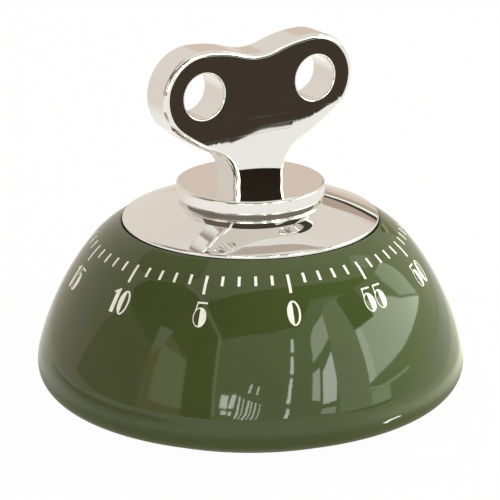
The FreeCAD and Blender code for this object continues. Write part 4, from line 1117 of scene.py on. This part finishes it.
brass = milled("brass", (0.80, 0.60, 0.27), (0.68, 0.49, 0.20), 0.2, 700.0, 0.14)
finish_node(brass, "great_wheel", "second_wheel", "third_wheel", "escape_wheel", "balance_bar")
steel = milled("cut_steel", (0.58, 0.57, 0.56), (0.47, 0.47, 0.48), 0.26, 1100.0, 0.12)
finish_node(
    steel, "second_pinion", "third_pinion", "escape_pinion", "anchor_arbor", "pallet_anchor",
    "trip_cam", "hammer_arbor", "hammer_lever", "detent_arm", "spring_post", "bell_post", "bell_screw",
)

# ---------------------------------------------------------------- springs
# The mainspring is a coiled strip of tempered blue spring steel round the spindle. The clutch
# spring, of the same steel, presses the great wheel on its seat.

blue_spring = milled("spring_steel", (0.13, 0.17, 0.28), (0.20, 0.20, 0.24), 0.24, 800.0, 0.1)
finish_node(blue_spring, "mainspring", "clutch_spring")

# ---------------------------------------------------------------- hammer leaf
# A short strip of blue spring steel, riveted to a stud under the bottom plate. Its free end
# rests on the hammer lever.

leaf_low, leaf_high = (corner.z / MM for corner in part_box("hammer_spring"))
leaf_root, leaf_tip = Vector((-24.6, -15.6)), Vector((-13.95, -18.1))
leaf_thickness, leaf_width, leaf_steps = 0.4, 2.2, 24
stud_radius, stud_edge = 0.68, 0.06
along = (leaf_tip - leaf_root).normalized()
lean = atan2(along.y, along.x)
side = Vector((-along.y, along.x)) * leaf_thickness / 2


def leaf_end(middle, *bends):
    """Points round one end of the strip, at angles in degrees from its length."""
    return [
        middle + Vector((cos(lean + radians(bend)), sin(lean + radians(bend)))) * leaf_thickness / 2
        for bend in bends
    ]


near_side = [leaf_tip.lerp(leaf_root, step / leaf_steps) + side for step in range(leaf_steps + 1)]
far_side = [leaf_root.lerp(leaf_tip, step / leaf_steps) - side for step in range(leaf_steps + 1)]
strip = (
    near_side + leaf_end(leaf_root, 120, 150, 180, 210, 240)
    + far_side + leaf_end(leaf_tip, -60, -30, 0, 30, 60)
)
stud = [
    (0.0, leaf_low),
    (stud_radius - stud_edge, leaf_low),
    (stud_radius, leaf_low + stud_edge),
    (stud_radius, leaf_high - stud_edge),
    (stud_radius - stud_edge, leaf_high),
    (0.0, leaf_high),
]
mesh = bmesh.new()
stand(mesh, strip, leaf_low, leaf_low + leaf_width)
turn(mesh, stud, leaf_root, 32)
leaf = link_piece("hammer_leaf", mesh, blue_spring)
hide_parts("hammer_spring")
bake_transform(leaf)

# ---------------------------------------------------------------- washer
# A ring of pressed wool felt, cut from sheet. It lies on the movement's top plate round the
# spindle, under the hub.

felt = new_material("felt", Roughness=0.95)
tree = felt.node_tree
fibres = use_group(tree, hairlines, (-900, 200), Scale=1.2, Density=1.0)
nap = use_group(tree, smears, (-900, 0), Scale=1400.0)
tone = mix_colours(tree, nap, (0.16, 0.145, 0.13), (0.27, 0.25, 0.225), (-600, 300))
tone = mix_colours(tree, fibres, tone, (0.36, 0.34, 0.31), (-350, 300))
feed(tree, tone, "Base Color")
add_bump(tree, nap, 0.12, 0.8)
finish_node(felt, "friction_washer")

# ---------------------------------------------------------------- bell and hammer head
# The bell is a cup drawn from sheet steel and nickel plated, screwed to its post. A turned brass
# head on the hammer strikes it.

bell_steel = plated("bell_steel", (0.74, 0.72, 0.69), 0.93, 0.8, 0.12)
finish_node(bell_steel, "bell")
finish_node(brass, "hammer_head")
